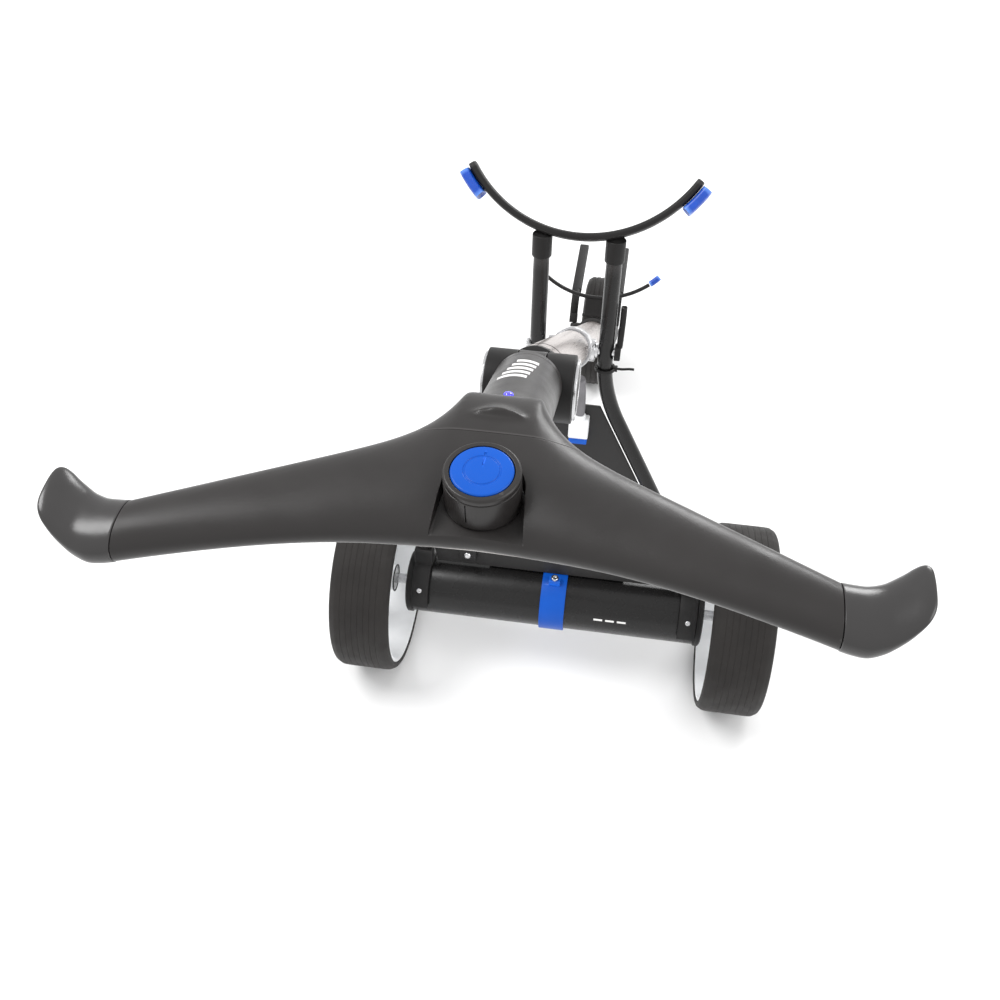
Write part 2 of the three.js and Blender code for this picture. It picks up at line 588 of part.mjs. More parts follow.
// ---------------------------------------------------------------- fork, front wheel, bag rest
function frontFork() {
  const legInner = FRONT_WIDTH / 2 + 6.5;
  const legOuter = legInner + 8;
  const parts = [block(-legOuter, legOuter, 1172, 1214, -15, 15), barY(27, 1146, 1180, 0, 0, 20)];
  for (const [, side] of SIDES) {
    const [low, high] = side < 0 ? [-legOuter, -legInner] : [legInner, legOuter];
    parts.push(block(low, high, 1210, SHAFT_REACH, -12, 12));
    parts.push(barX(12, low, high, SHAFT_REACH, 0, 16));
  }
  const tools = [
    barY(SHAFT_RADIUS + GAP, 1140, 1196.4, 0, 0, 20),
    barX(PIN_RADIUS + GAP, -60, 60, SHAFT_REACH, 0, 16),
  ];
  add(shaftFrame, 'front_fork', cut(join(...parts), ...tools), blackPlastic());
  const axle = join(
    barX(PIN_RADIUS, -legOuter - 4, legOuter + 5, SHAFT_REACH, 0, 16),
    barX(9, -legOuter - 4.5, -legOuter - GAP, SHAFT_REACH, 0, 16),
    barX(8.5, legOuter + GAP, legOuter + 6.5, SHAFT_REACH, 0, 6),
  );
  add(shaftFrame, 'front_axle', axle, steel());
}

function frontWheel() {
  const half = FRONT_WIDTH / 2;
  const tyre = [
    [-half + 3, 76.3], [-half, 82], [-half + 3, 92], [-half + 10, FRONT_RADIUS],
    [half - 10, FRONT_RADIUS], [half - 3, 92], [half, 82], [half - 3, 76.3], [-half + 3, 76.3],
  ];
  add(shaftFrame, 'front_tyre', turnedX(tyre, 28).translate(0, SHAFT_REACH, 0), tyreRubber());
  const rim = [
    [-half + 4, 72], [-half + 4, 76], [half - 4, 76], [half - 4, 72], [5, 68], [5, 22], [half + 4, 14],
    [half + 4, PIN_RADIUS + GAP], [-half - 4, PIN_RADIUS + GAP], [-half - 4, 14], [-5, 22], [-5, 68],
    [-half + 4, 72],
  ];
  add(shaftFrame, 'front_rim', turnedX(rim, 28).translate(0, SHAFT_REACH, 0), blackPlastic());
}

// A point given level, from the rear axle and the ground, in the shaft's own frame.
function onShaft(x, y, z) {
  const point = new THREE.Vector3(x, y - LINE_Y, z - LINE_Z);
  return point.applyAxisAngle(X_AXIS, SHAFT_SLOPE);
}

const RAIL_X = 36;               // rails over the front wheel, on which the bag's base stands
const RAIL_TOP = 236;
const RAIL_END = 728;

function lowerCradle() {
  const { station, low, radius, end } = LOWER;
  const arc = cradleArc(station, low, radius, -end, end, 3.2, 7, 10);
  const post = block(-16, 16, station - 5, station + 5, 29, low);
  const shoe = block(-20, 20, 1146, 1171, 27.4, 33);
  add(shaftFrame, 'lower_cradle', join(arc, post, shoe), blackPlastic());
  for (const [name, side] of SIDES) {
    const x = side * RAIL_X;
    const climb = [[552, 202], [562, 219], [580, 229], [596, 231]].map(([y, z]) => onShaft(x, y, z));
    const rise = swept(climb, 5, 7, 6, 8);
    const level = block(x - 8, x + 8, 590, RAIL_END, RAIL_TOP - 10, RAIL_TOP);
    const rail = carried(level, trolley, shaftFrame);
    const foot = block(x - 6, x + 6, 1174, 1204, 15.4, 30);
    add(shaftFrame, `bag_stop_${name}`, join(rise, rail, foot), blackPlastic());
  }
}

// ---------------------------------------------------------------- handle
const COVER_END = 38;            // seam between the grip shells and the neck
const LIP_Z = -27;               // seam between the upper and the lower grip shell
const NECK_RADIUS = 24.5;
const NECK_START = 17;           // the neck's body begins inside the grip
const NECK_END = NECK_LENGTH - 27;
const LAMP_S = 48;               // status lamp, down the neck
const KNOB_RADIUS = 21;
const KNOB_FLOOR = -18;
const KNOB_TOP = 7.5;            // the knob's rim above its frame's plane

// Front and rear edges of the gull-wing plan, and the thickness along the span.
const rearEdge = (x) => -27 - 38 * (x / SEAM_X) ** 1.6;
const frontEdge = (x) => 62.2 - 0.488 * x + 11.4 * Math.exp((36 - x) / 14);
const swell = (x) => Math.exp(-((x / 60) ** 2));

function gripSection(x) {
  const reach = Math.max(Math.abs(x), 22);
  const [rear, front] = [rearEdge(Math.abs(x)), frontEdge(reach)];
  const bulge = swell(x);
  return oval(x, (rear + front) / 2, -18 - 6 * bulge, (front - rear) / 2, 12 + 8 * bulge);
}

function gripBody() {
  const half = [14, 22, 30, 40, 52, 68, 90, 118, 150, SEAM_X];
  const stations = [...half.map((x) => -x).reverse(), 0, ...half];
  const neck = carried(barY(NECK_RADIUS, NECK_START, NECK_END, 0, 0, 24), neckFrame, handleFrame);
  return join(lofted(stations.map(gripSection)), neck);
}

function knobPocket() {
  const shape = new THREE.Shape();
  shape.moveTo(-29, -60);
  shape.lineTo(29, -60);
  shape.absarc(0, 0, KNOB_RADIUS + 1.8, 0, Math.PI, false);
  const depth = 40;
  return new THREE.ExtrudeGeometry(shape, { depth, bevelEnabled: false, curveSegments: 10 })
    .translate(0, 0, KNOB_FLOOR);
}

function gripShells() {
  const body = gripBody();
  const far = 400;
  const rearHalf = block(-far, far, -far, COVER_END, -far, far);
  const boardRoom = block(-28, 28, -16, 30, -38, -22);
  const spindleHole = barZ(5, -30, 0, 0, 0, 16);
  const upper = common(common(body, rearHalf), block(-far, far, -far, far, LIP_Z, far));
  add(handleFrame, 'grip_upper', cut(upper, knobPocket(), boardRoom, spindleHole), blackPlastic());
  const lower = common(common(body, rearHalf), block(-far, far, -far, far, -far, LIP_Z - GAP));
  add(handleFrame, 'grip_lower', cut(lower, boardRoom), lipPlastic());
  const board = join(
    block(-25, 25, -13, 27, -36, -34.4),
    barZ(8, -35, -24, 0, 0, 20),
    barZ(3, -24, -7, 0, 0, 16),
  );
  add(handleFrame, 'control_board', board, boardGreen());
}

function neckCover() {
  const far = 400;
  const neck = common(gripBody(), block(-far, far, COVER_END + GAP, far, -far, far));
  const tongue = barX(BARREL_RADIUS, -TONGUE_HALF, TONGUE_HALF, PIVOT_S, -PIVOT_DROP, 20);
  const web = block(-TONGUE_HALF, TONGUE_HALF, NECK_END - 4, NECK_LENGTH, -PIVOT_DROP - 14, 12);
  const bore = barX(PIN_RADIUS + GAP, -40, 40, PIVOT_S, -PIVOT_DROP, 20);
  const lampHole = barZ(3.4, NECK_RADIUS - 8.5, NECK_RADIUS + 14, 0, LAMP_S, 16);
  const body = join(
    neck, carried(tongue, shaftFrame, handleFrame), carried(web, neckFrame, handleFrame),
  );
  const tools = [carried(bore, shaftFrame, handleFrame), carried(lampHole, neckFrame, handleFrame)];
  add(handleFrame, 'neck_cover', cut(body, ...tools), blackPlastic());
  const [floor, crown] = [NECK_RADIUS - 8, NECK_RADIUS + 0.5];
  const lens = turnedZ([[0, floor], [3, floor], [3, crown], [1.8, crown + 1], [0, crown + 1.4]], 16);
  add(neckFrame, 'status_lamp', lens.translate(0, LAMP_S, 0), ledLens());
}

function endCap(name, side) {
  const sections = [
    [SEAM_X + GAP, -47, -18, 18.4, 12], [200, -48, -18.4, 19.3, 12.2], [212, -45, -15, 18.5, 11.4],
    [221, -40.5, -9.5, 16.6, 9.5], [226.5, -37.5, -5, 13.5, 6.5], [228.5, -36.5, -3.6, 9, 3],
  ];
  const rings = sections.map(([x, y, z, depth, height]) => oval(side * x, y, z, depth, height));
  add(handleFrame, `end_cap_${name}`, lofted(rings), blackPlastic());
}

function speedKnob() {
  const knob = [
    [3.4, KNOB_FLOOR + 0.5], [20.4, KNOB_FLOOR + 0.5], [KNOB_RADIUS, KNOB_FLOOR + 1.4],
    [KNOB_RADIUS, KNOB_TOP - 1.2], [20, KNOB_TOP], [17.4, KNOB_TOP], [17.4, KNOB_TOP - 5.6],
    [3.4, KNOB_TOP - 5.6], [3.4, KNOB_FLOOR + 0.5],
  ];
  add(handleFrame, 'speed_knob', turnedZ(knob, 24), blackPlastic());
  const button = [
    [0, KNOB_TOP - 3.4], [17, KNOB_TOP - 3.4], [17, KNOB_TOP - 0.2], [16.2, KNOB_TOP + 0.5],
    [0, KNOB_TOP + 0.5],
  ];
  add(handleFrame, 'power_button', turnedZ(button, 24), bluePlastic());
}

// ---------------------------------------------------------------- assembly
motorHousing();
batteryCarrier();
batteryPack();
powerLead();
handleBarrel();
shaft();
framePivot();
foldLever();
frontFork();
frontWheel();
upperCradle();
upperPads();
lowerCradle();
lowerPads();
gripShells();
neckCover();
speedKnob();
for (const [name, side] of SIDES) {
  housingCap(name, side);
  gearmotor(name, side);
  rearWheel(name, side);
  frameTube(name, side);
  tubeFoot(name, side);
  endCap(name, side);
}

export default trolley;
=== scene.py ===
import json
import math

import bmesh
import bpy
from mathutils import Matrix, Vector


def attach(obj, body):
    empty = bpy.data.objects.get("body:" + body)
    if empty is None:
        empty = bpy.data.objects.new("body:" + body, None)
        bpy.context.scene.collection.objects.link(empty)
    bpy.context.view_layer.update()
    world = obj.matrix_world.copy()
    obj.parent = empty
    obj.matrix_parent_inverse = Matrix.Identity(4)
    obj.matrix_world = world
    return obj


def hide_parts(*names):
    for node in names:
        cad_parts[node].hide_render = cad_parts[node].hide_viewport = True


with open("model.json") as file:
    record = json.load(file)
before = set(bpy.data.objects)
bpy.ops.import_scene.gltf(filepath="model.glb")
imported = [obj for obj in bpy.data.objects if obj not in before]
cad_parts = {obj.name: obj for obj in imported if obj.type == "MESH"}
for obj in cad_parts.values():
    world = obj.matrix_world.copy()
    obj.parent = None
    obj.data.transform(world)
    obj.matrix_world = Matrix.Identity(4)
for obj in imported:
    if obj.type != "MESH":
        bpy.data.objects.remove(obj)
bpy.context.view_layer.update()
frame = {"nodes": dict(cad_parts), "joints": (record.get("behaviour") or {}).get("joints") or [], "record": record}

# Electric golf trolley. Shapes are given in millimetres in the frame of the part they belong to,
# and the place matrices below carry them into the metres of the row frame.

RECORD = frame["record"]
NODES = frame["nodes"]
BODY = {node: body for body, nodes in RECORD["behaviour"]["bodies"].items() for node in nodes}
SLOT = {part["node"]: part["material_slot"] for part in RECORD["subparts"]}
JOINT = {joint["name"]: joint for joint in frame["joints"]}
SIDES = (("left", -1), ("right", 1))


# ------------------------------------------------------------------ places

def joint_point(name):
    return Vector(JOINT[name]["pos_m"])


MILLIMETRE = Matrix.Scale(0.001, 4)
FRAME_LEAN = math.atan(61 / 544)          # the frame tubes lean forward

pivot = joint_point("handle_tilt")
front_hub = joint_point("front_wheel_spin")
fold = joint_point("frame_fold")
knob_centre = joint_point("knob_turn")
knob_axis = Vector(JOINT["knob_turn"]["axis"])
rear_hub = joint_point("left_wheel_spin")
rear_hub.x = 0

REACH = 1336              # down the shaft's line to the front axle
PIVOT_S = 98              # down the shaft's line to the handle pivot
NECK_Y = -0.518           # where the neck leaves the grip: metres behind the rear axle
NECK_Z = 0.893            # and metres above the ground

shaft_line = (front_hub - fold).normalized()
shaft_slope = math.atan2(-shaft_line.z, shaft_line.y)
line_top = front_hub - shaft_line * REACH / 1000
FOLD_S = (fold - line_top).length * 1000
neck_start = Vector((0, rear_hub.y + NECK_Y, NECK_Z))
neck_line = line_top + shaft_line * PIVOT_S / 1000 - neck_start
NECK_LENGTH = neck_line.length * 1000
neck_slope = math.atan2(-neck_line.z, neck_line.y)
handle_tilt = math.atan2(-knob_axis.y, knob_axis.z)

AXLE = Matrix.Translation(rear_hub) @ MILLIMETRE
TUBES = Matrix.Translation(rear_hub) @ Matrix.Rotation(-FRAME_LEAN, 4, "X") @ MILLIMETRE
SHAFT = Matrix.Translation(line_top) @ Matrix.Rotation(-shaft_slope, 4, "X") @ MILLIMETRE
PIVOT = Matrix.Translation(pivot) @ Matrix.Rotation(-shaft_slope, 4, "X") @ MILLIMETRE
NECK = Matrix.Translation(neck_start) @ Matrix.Rotation(-neck_slope, 4, "X") @ MILLIMETRE
HANDLE = Matrix.Translation(knob_centre) @ Matrix.Rotation(handle_tilt, 4, "X") @ MILLIMETRE
FRONT = Matrix.Translation(front_hub) @ Matrix.Rotation(-shaft_slope, 4, "X") @ MILLIMETRE
ALONG_Y = Matrix.Rotation(math.pi / 2, 4, "Z")
ALONG_Z = Matrix.Rotation(-math.pi / 2, 4, "Y")
MIRROR = {-1: Matrix.Scale(-1, 4, (1, 0, 0)), 1: Matrix.Identity(4)}


def shift(x, y, z):
    return Matrix.Translation((x, y, z))


# ------------------------------------------------------------------ camera, light and floor

CAMERA_PLACE = Vector((0.0708, -1.0204, 1.3194))
CAMERA_YAW = math.radians(-8.83)
CAMERA_DOWN = math.radians(46.18)
LENS_MM = 38.9


def camera():
    data = bpy.data.cameras.new("camera")
    data.lens = LENS_MM
    data.sensor_width = 36.0
    obj = bpy.data.objects.new("camera", data)
    obj.location = CAMERA_PLACE
    obj.rotation_euler = (math.pi / 2 - CAMERA_DOWN, 0, -CAMERA_YAW)
    bpy.context.scene.collection.objects.link(obj)
    bpy.context.scene.camera = obj


def area_light(name, place, target, size, power):
    data = bpy.data.lights.new(name, "AREA")
    data.shape = "DISK"
    data.size = size
    data.energy = power
    obj = bpy.data.objects.new(name, data)
    obj.location = place
    obj.rotation_euler = (Vector(target) - Vector(place)).to_track_quat("-Z", "Y").to_euler()
    bpy.context.scene.collection.objects.link(obj)


def studio():
    world = bpy.data.worlds.new("studio")
    world.use_nodes = True
    background = world.node_tree.nodes["Background"]
    background.inputs["Color"].default_value = (1, 1, 1, 1)
    background.inputs["Strength"].default_value = 0.95
    bpy.context.scene.world = world
    middle = (0, 0, 0.5)
    area_light("key", (-1.6, -0.4, 2.9), middle, 1.5, 52)
    area_light("fill", (2.2, -1.0, 2.2), middle, 1.8, 24)
    area_light("rim", (0.9, 2.6, 1.9), middle, 1.3, 34)
    bpy.context.scene.view_settings.view_transform = "Standard"


def floor():
    half = 9.0
    corners = [(-half, -half, 0), (half, -half, 0), (half, half, 0), (-half, half, 0)]
    mesh = bpy.data.meshes.new("floor")
    mesh.from_pydata(corners, [], [(0, 1, 2, 3)])
    obj = bpy.data.objects.new("floor", mesh)
    bpy.context.scene.collection.objects.link(obj)
    obj.data.materials.append(FLOOR)


# ------------------------------------------------------------------ materials

class Look:
    """A node material: a base colour with slow variation, a painted highlight along convex edges, roughness
    variation and a bump.
    """

    def __init__(self, name, color, rough, metal=0.0):
        self.material = bpy.data.materials.new(name)
        self.material.use_nodes = True
        self.tree = self.material.node_tree
        self.shader = self.tree.nodes["Principled BSDF"]
        self.shader.inputs["Metallic"].default_value = metal
        self.shader.inputs["Roughness"].default_value = rough
        self.shader.inputs["Base Color"].default_value = (*color, 1)
        self.color = color
        self.rough = rough
        self.place = self.tree.nodes.new("ShaderNodeTexCoord").outputs["Object"]
        self.bumps = None

    def node(self, kind, **values):
        made = self.tree.nodes.new(kind)
        for key, value in values.items():
            setattr(made, key, value)
        return made

    def link(self, a, b):
        self.tree.links.new(a, b)

    def noise(self, scale, detail=4.0, stretch=None, turn=0.0):
        source = self.place
        if stretch:
            mapping = self.node("ShaderNodeMapping", vector_type="TEXTURE")
            mapping.inputs["Scale"].default_value = stretch
            mapping.inputs["Rotation"].default_value = (turn, 0, 0)
            self.link(source, mapping.inputs["Vector"])
            source = mapping.outputs["Vector"]
        texture = self.node("ShaderNodeTexNoise")
        texture.inputs["Scale"].default_value = scale
        texture.inputs["Detail"].default_value = detail
        self.link(source, texture.inputs["Vector"])
        return texture.outputs["Fac"]

    def spread(self, fac, low, high):
        ramp = self.node("ShaderNodeMapRange")
        ramp.inputs["From Min"].default_value = 0.3
        ramp.inputs["From Max"].default_value = 0.7
        ramp.inputs["To Min"].default_value = low
        ramp.inputs["To Max"].default_value = high
        self.link(fac, ramp.inputs["Value"])
        return ramp.outputs["Result"]

    def mottle(self, scale, amount):
        """Slow drift of the colour between a darker and a lighter tone."""
        mix = self.node("ShaderNodeMix", data_type="RGBA")
        dark = [c * (1 - amount) for c in self.color]
        light = [min(1.0, c * (1 + amount)) for c in self.color]
        mix.inputs["A"].default_value = (*dark, 1)
        mix.inputs["B"].default_value = (*light, 1)
        self.link(self.spread(self.noise(scale), 0, 1), mix.inputs["Factor"])
        self.tone = mix.outputs["Result"]
        self.link(self.tone, self.shader.inputs["Base Color"])
        return self

    def lit_edges(self, color, amount):
        """Painted highlight: a lighter tone along convex edges."""
        geometry = self.node("ShaderNodeNewGeometry")
        ramp = self.node("ShaderNodeMapRange")
        ramp.inputs["From Min"].default_value = 0.53
        ramp.inputs["From Max"].default_value = 0.60
        ramp.inputs["To Min"].default_value = 0.0
        ramp.inputs["To Max"].default_value = amount
        self.link(geometry.outputs["Pointiness"], ramp.inputs["Value"])
        mix = self.node("ShaderNodeMix", data_type="RGBA")
        mix.inputs["B"].default_value = (*color, 1)
        self.link(self.tone, mix.inputs["A"])
        self.link(ramp.outputs["Result"], mix.inputs["Factor"])
        self.tone = mix.outputs["Result"]
        self.link(self.tone, self.shader.inputs["Base Color"])
        return self

    def uneven(self, scale, amount, stretch=None, turn=0.0):
        """Roughness that drifts round its middle value."""
        fac = self.noise(scale, 3.0, stretch, turn)
        self.link(self.spread(fac, self.rough - amount, self.rough + amount), self.shader.inputs["Roughness"])
        return self

    def bump(self, scale, depth, stretch=None, turn=0.0, detail=4.0):
        """Fine relief; depth in metres."""
        bump = self.node("ShaderNodeBump")
        bump.inputs["Strength"].default_value = 1.0
        bump.inputs["Distance"].default_value = depth
        self.link(self.noise(scale, detail, stretch, turn), bump.inputs["Height"])
        if self.bumps:
            self.link(self.bumps, bump.inputs["Normal"])
        self.bumps = bump.outputs["Normal"]
        self.link(self.bumps, self.shader.inputs["Normal"])
        return self

    def put(self, **inputs):
        for key, value in inputs.items():
            self.shader.inputs[key.replace("_", " ")].default_value = value
        return self


def plastic(name, color, rough, depth=0.00006, shine=0.5):
    # every plastic gets a painted highlight, a lighter tone on its convex edges
    look = Look(name, color, rough).mottle(14, 0.10).lit_edges([min(1, c * 2.4 + 0.02) for c in color], 0.5)
    look.uneven(60, 0.05).bump(2600, depth)
    return look.put(Specular_IOR_Level=shine).material


BLACK = plastic("black_plastic", (0.014, 0.0135, 0.0135), 0.44, shine=0.2)
GRIP = plastic("grip_plastic", (0.021, 0.019, 0.0185), 0.33, 0.00005, 0.36)
CAP = plastic("cap_plastic", (0.026, 0.0245, 0.0245), 0.22, 0.00003, 0.55)
# lip_plastic is a painted reflection: its light grey stands in for the white floor reflected along the grip's
# lower edge
LIP_REFLECTION_GREY = plastic("lip_plastic", (0.30, 0.285, 0.275), 0.38, 0.00003)
CASE = plastic("battery_case", (0.022, 0.022, 0.023), 0.42)
BLUE = plastic("blue_plastic", (0.004, 0.080, 0.44), 0.33, 0.00002, 0.2)
WHITE = plastic("white_plastic", (0.82, 0.83, 0.84), 0.34, 0.00002)
# the frame paint gets a painted highlight, a lighter tone on its convex edges
PAINT = Look("frame_paint", (0.010, 0.0096, 0.0096), 0.27).mottle(9, 0.12) \
    .lit_edges((0.16, 0.15, 0.15), 0.35).uneven(40, 0.05).bump(1500, 0.00008, detail=2.0) \
    .put(Specular_IOR_Level=0.25, Coat_Weight=0.15, Coat_Roughness=0.15).material
GEAR = Look("gear_casting", (0.05, 0.05, 0.05), 0.5).mottle(30, 0.2).bump(900, 0.0003).material
SILVER = Look("silver_tube", (0.45, 0.40, 0.38), 0.27, 1.0).mottle(6, 0.06) \
    .uneven(14, 0.04, (0.003, 0.8, 0.003), -shaft_slope) \
    .bump(8, 0.000012, (0.0018, 0.9, 0.0018), -shaft_slope).material
STEEL = Look("steel", (0.60, 0.60, 0.61), 0.24, 1.0).mottle(40, 0.08).uneven(160, 0.08) \
    .bump(1200, 0.00004).material
COPPER = Look("copper_core", (0.62, 0.30, 0.15), 0.35, 1.0).mottle(120, 0.3).bump(500, 0.0004).material
# the tyre rubber gets a painted highlight, a lighter tone on its convex edges
TYRE = Look("tyre_rubber", (0.021, 0.019, 0.018), 0.62).mottle(22, 0.16).lit_edges((0.11, 0.10, 0.10), 0.4) \
    .uneven(50, 0.08).bump(1400, 0.0003) \
    .put(Specular_IOR_Level=0.2, Sheen_Weight=0.03, Sheen_Roughness=0.5).material
# the blue rubber pads get a strong painted highlight: bright blue on their edges stands in for light glowing
# through the translucent rubber
PAD = Look("blue_rubber", (0.004, 0.062, 0.42), 0.36).mottle(70, 0.12).lit_edges((0.20, 0.42, 0.95), 0.8) \
    .uneven(90, 0.06).bump(1300, 0.00008) \
    .put(Subsurface_Weight=0.25, Subsurface_Scale=0.004, Subsurface_Radius=(0.3, 0.5, 1.0)).material
LAMP = Look("lamp_lens", (0.05, 0.04, 0.95), 0.15).mottle(900, 0.3) \
    .put(Emission_Color=(0.03, 0.02, 1.0, 1), Emission_Strength=2.2, Coat_Weight=1.0).material
BOARD = Look("circuit_board", (0.02, 0.12, 0.05), 0.4).mottle(300, 0.3).bump(400, 0.0001).material
SHEATH = Look("lead_sheath", (0.17, 0.165, 0.175), 0.5).mottle(50, 0.12).uneven(80, 0.06) \
    .bump(1500, 0.0001).material
INK = Look("label_ink", (0.80, 0.79, 0.78), 0.45).mottle(300, 0.08).bump(1800, 0.00003).material
FLOOR = Look("floor", (0.90, 0.90, 0.90), 0.6).mottle(2, 0.01).material

LOOK = {
    "black_plastic": BLACK, "grip_plastic": GRIP, "cap_plastic": CAP, "lip_plastic": LIP_REFLECTION_GREY,
    "blue_plastic": BLUE, "blue_rubber": PAD, "frame_paint": PAINT, "gear_casting": GEAR,
    "silver_tube": SILVER, "steel": STEEL, "copper_core": COPPER, "white_plastic": WHITE,
    "tyre_rubber": TYRE, "lamp_lens": LAMP, "circuit_board": BOARD, "battery_case": CASE,
    "lead_sheath": SHEATH,
}


# ------------------------------------------------------------------ mesh helpers

def build(name, verts, faces, place, sharp=38):
    """Welded, outward-facing mesh object from millimetre points."""
    mesh = bpy.data.meshes.new(name)
    mesh.from_pydata([place @ Vector(v) for v in verts], [], faces)
    body = bmesh.new()
    body.from_mesh(mesh)
    bmesh.ops.remove_doubles(body, verts=body.verts, dist=1e-6)
    bmesh.ops.recalc_face_normals(body, faces=body.faces)
    body.to_mesh(mesh)
    body.free()
    obj = bpy.data.objects.new(name, mesh)
    bpy.context.scene.collection.objects.link(obj)
    return shade(obj, sharp)


def shade(obj, sharp=38):
    obj.data.polygons.foreach_set("use_smooth", [True] * len(obj.data.polygons))
    obj.data.set_sharp_from_angle(angle=math.radians(sharp))
    return obj


def fillet(line, radius, steps=4):
    """Rounds the corners of a profile. A profile that ends where it starts is closed."""
    closed = line[0] == line[-1]
    points = [Vector(p) for p in (line[:-1] if closed else line)]
    count = len(points)
    rounded = []
    for i, point in enumerate(points):
        if not closed and i in (0, count - 1):
            rounded.append(tuple(point))
            continue
        before = points[i - 1] - point
        after = points[(i + 1) % count] - point
        if math.pi - before.angle(after) < math.radians(12):
            rounded.append(tuple(point))
            continue
        reach = min(radius, before.length * 0.45, after.length * 0.45)
        start = point + before.normalized() * reach
        end = point + after.normalized() * reach
        for k in range(steps + 1):
            t = k / steps
            rounded.append(tuple(start * (1 - t) ** 2 + point * 2 * t * (1 - t) + end * t * t))
    return rounded + [rounded[0]] if closed else rounded


def lathe(name, profile, place, segments=96, radius=0.8):
    """Solid of revolution about local X from a profile of (x, radius) points."""
    line = fillet(profile, radius) if radius else profile
    closed = line[0] == line[-1]
    rows = line[:-1] if closed else line
    verts = []
    for a, r in rows:
        for k in range(segments):
            t = 2 * math.pi * k / segments
            verts.append((a, r * math.cos(t), r * math.sin(t)))
    faces = []
    count = len(rows)
    for i in range(count if closed else count - 1):
        here, there = i * segments, ((i + 1) % count) * segments
        for k in range(segments):
            n = (k + 1) % segments
            faces.append((here + k, here + n, there + n, there + k))
    return build(name, verts, faces, place)


def rod(name, low, high, reach, place, segments=96, radius=0.8):
    """Solid round bar from low to high along the axis."""
    return lathe(name, [(low, 0), (low, reach), (high, reach), (high, 0)], place, segments, radius)


def hoop(name, low, high, inner, outer, place, segments=96, radius=0.8):
    """Ring of rectangular section from low to high along the axis."""
    section = [(low, inner), (low, outer), (high, outer), (high, inner), (low, inner)]
    return lathe(name, section, place, segments, radius)


def loft(name, rings, place, sharp=38):
    count = len(rings[0])
    verts = [p for ring in rings for p in ring]
    faces = []
    for i in range(len(rings) - 1):
        for k in range(count):
            n = (k + 1) % count
            faces.append((i * count + k, i * count + n, (i + 1) * count + n, (i + 1) * count + k))
    faces.append(tuple(range(count)))
    faces.append(tuple(range(len(verts) - count, len(verts))))
    return build(name, verts, faces, place, sharp)


def oval(x, y, z, depth, height, count=64, square=2.0):
    """Ring in the plane x; square above 2 flattens its sides."""
    ring = []
    for k in range(count):
        c = math.cos(2 * math.pi * k / count)
        s = math.sin(2 * math.pi * k / count)
        ring.append((
            x,
            y + depth * math.copysign(abs(c) ** (2 / square), c),
            z + height * math.copysign(abs(s) ** (2 / square), s),
        ))
    return ring


def smooth_path(points, count):
    """Points spread along a Catmull-Rom curve through the given ones."""
    line = [Vector(p) for p in points]
    line = [2 * line[0] - line[1], *line, 2 * line[-1] - line[-2]]
    spans = len(line) - 3
    path = []
    for k in range(count + 1):
        u = min(spans * k / count, spans - 1e-6)
        i = int(u)
        t = u - i
        a, b, c, d = line[i:i + 4]
        path.append(0.5 * (2 * b + (c - a) * t + (2 * a - 5 * b + 4 * c - d) * t * t
                           + (3 * b - a - 3 * c + d) * t ** 3))
    return path


def sweep(name, path, across, width, height, place, sides=32, square=2.0, cap=3.0):
    """Bar along a path: width along the fixed direction across, height at right angles to it.
    Its ends are rounded over the length cap."""
    across = Vector(across).normalized()
    rings = []

    def ring(point, tangent, scale):
        up = tangent.cross(across).normalized()
        return [tuple(point + across * y * width * scale + up * z * height * scale)
                for _, y, z in oval(0, 0, 0, 1, 1, sides, square)]

    tangents = []
    for i in range(len(path)):
        ahead = path[min(i + 1, len(path) - 1)] - path[max(i - 1, 0)]
        tangents.append(ahead.normalized())
    dome = [math.radians(a) for a in (8, 30, 52, 74)]
    for a in dome:
        point = path[0] + tangents[0] * cap * (1 - math.sin(a))
        rings.append(ring(point, tangents[0], math.cos(math.pi / 2 - a)))
    for point, tangent in zip(path, tangents):
        if (point - path[0]).length > cap and (point - path[-1]).length > cap:
            rings.append(ring(point, tangent, 1))
    for a in reversed(dome):
        point = path[-1] - tangents[-1] * cap * (1 - math.sin(a))
        rings.append(ring(point, tangents[-1], math.cos(math.pi / 2 - a)))
    return loft(name, rings, place)


def slab(name, low, high, place, radius=1.0, steps=3):
    """Block between two corners with rounded edges."""
    body = bmesh.new()
    bmesh.ops.create_cube(body, size=1)
    for vert in body.verts:
        for axis in range(3):
            vert.co[axis] = high[axis] if vert.co[axis] > 0 else low[axis]
    if radius:
        bmesh.ops.bevel(body, geom=body.edges[:], offset=radius, segments=steps, profile=0.5, affect="EDGES")
    mesh = bpy.data.meshes.new(name)
    body.to_mesh(mesh)
    body.free()
    mesh.transform(place)
    if place.determinant() < 0:
        mesh.flip_normals()
    obj = bpy.data.objects.new(name, mesh)
    bpy.context.scene.collection.objects.link(obj)
    return shade(obj, 50)


def prism(name, outline, low, high, place, radius=0.8):
    """Outline in local XZ drawn out along Y, with its rims rounded."""
    body = bmesh.new()
    face = body.faces.new([body.verts.new((x, low, z)) for x, z in outline])
    made = bmesh.ops.extrude_face_region(body, geom=[face])
    top = [v for v in made["geom"] if isinstance(v, bmesh.types.BMVert)]
    bmesh.ops.translate(body, verts=top, vec=(0, high - low, 0))
    bmesh.ops.recalc_face_normals(body, faces=body.faces)
    rims = [e for e in body.edges if abs(e.verts[0].co.y - e.verts[1].co.y) < 1e-6]
    if radius:
        bmesh.ops.bevel(body, geom=rims, offset=radius, segments=3, profile=0.5, affect="EDGES")
    mesh = bpy.data.meshes.new(name)
    body.to_mesh(mesh)
    body.free()
    mesh.transform(place)
    obj = bpy.data.objects.new(name, mesh)
    bpy.context.scene.collection.objects.link(obj)
    return shade(obj)


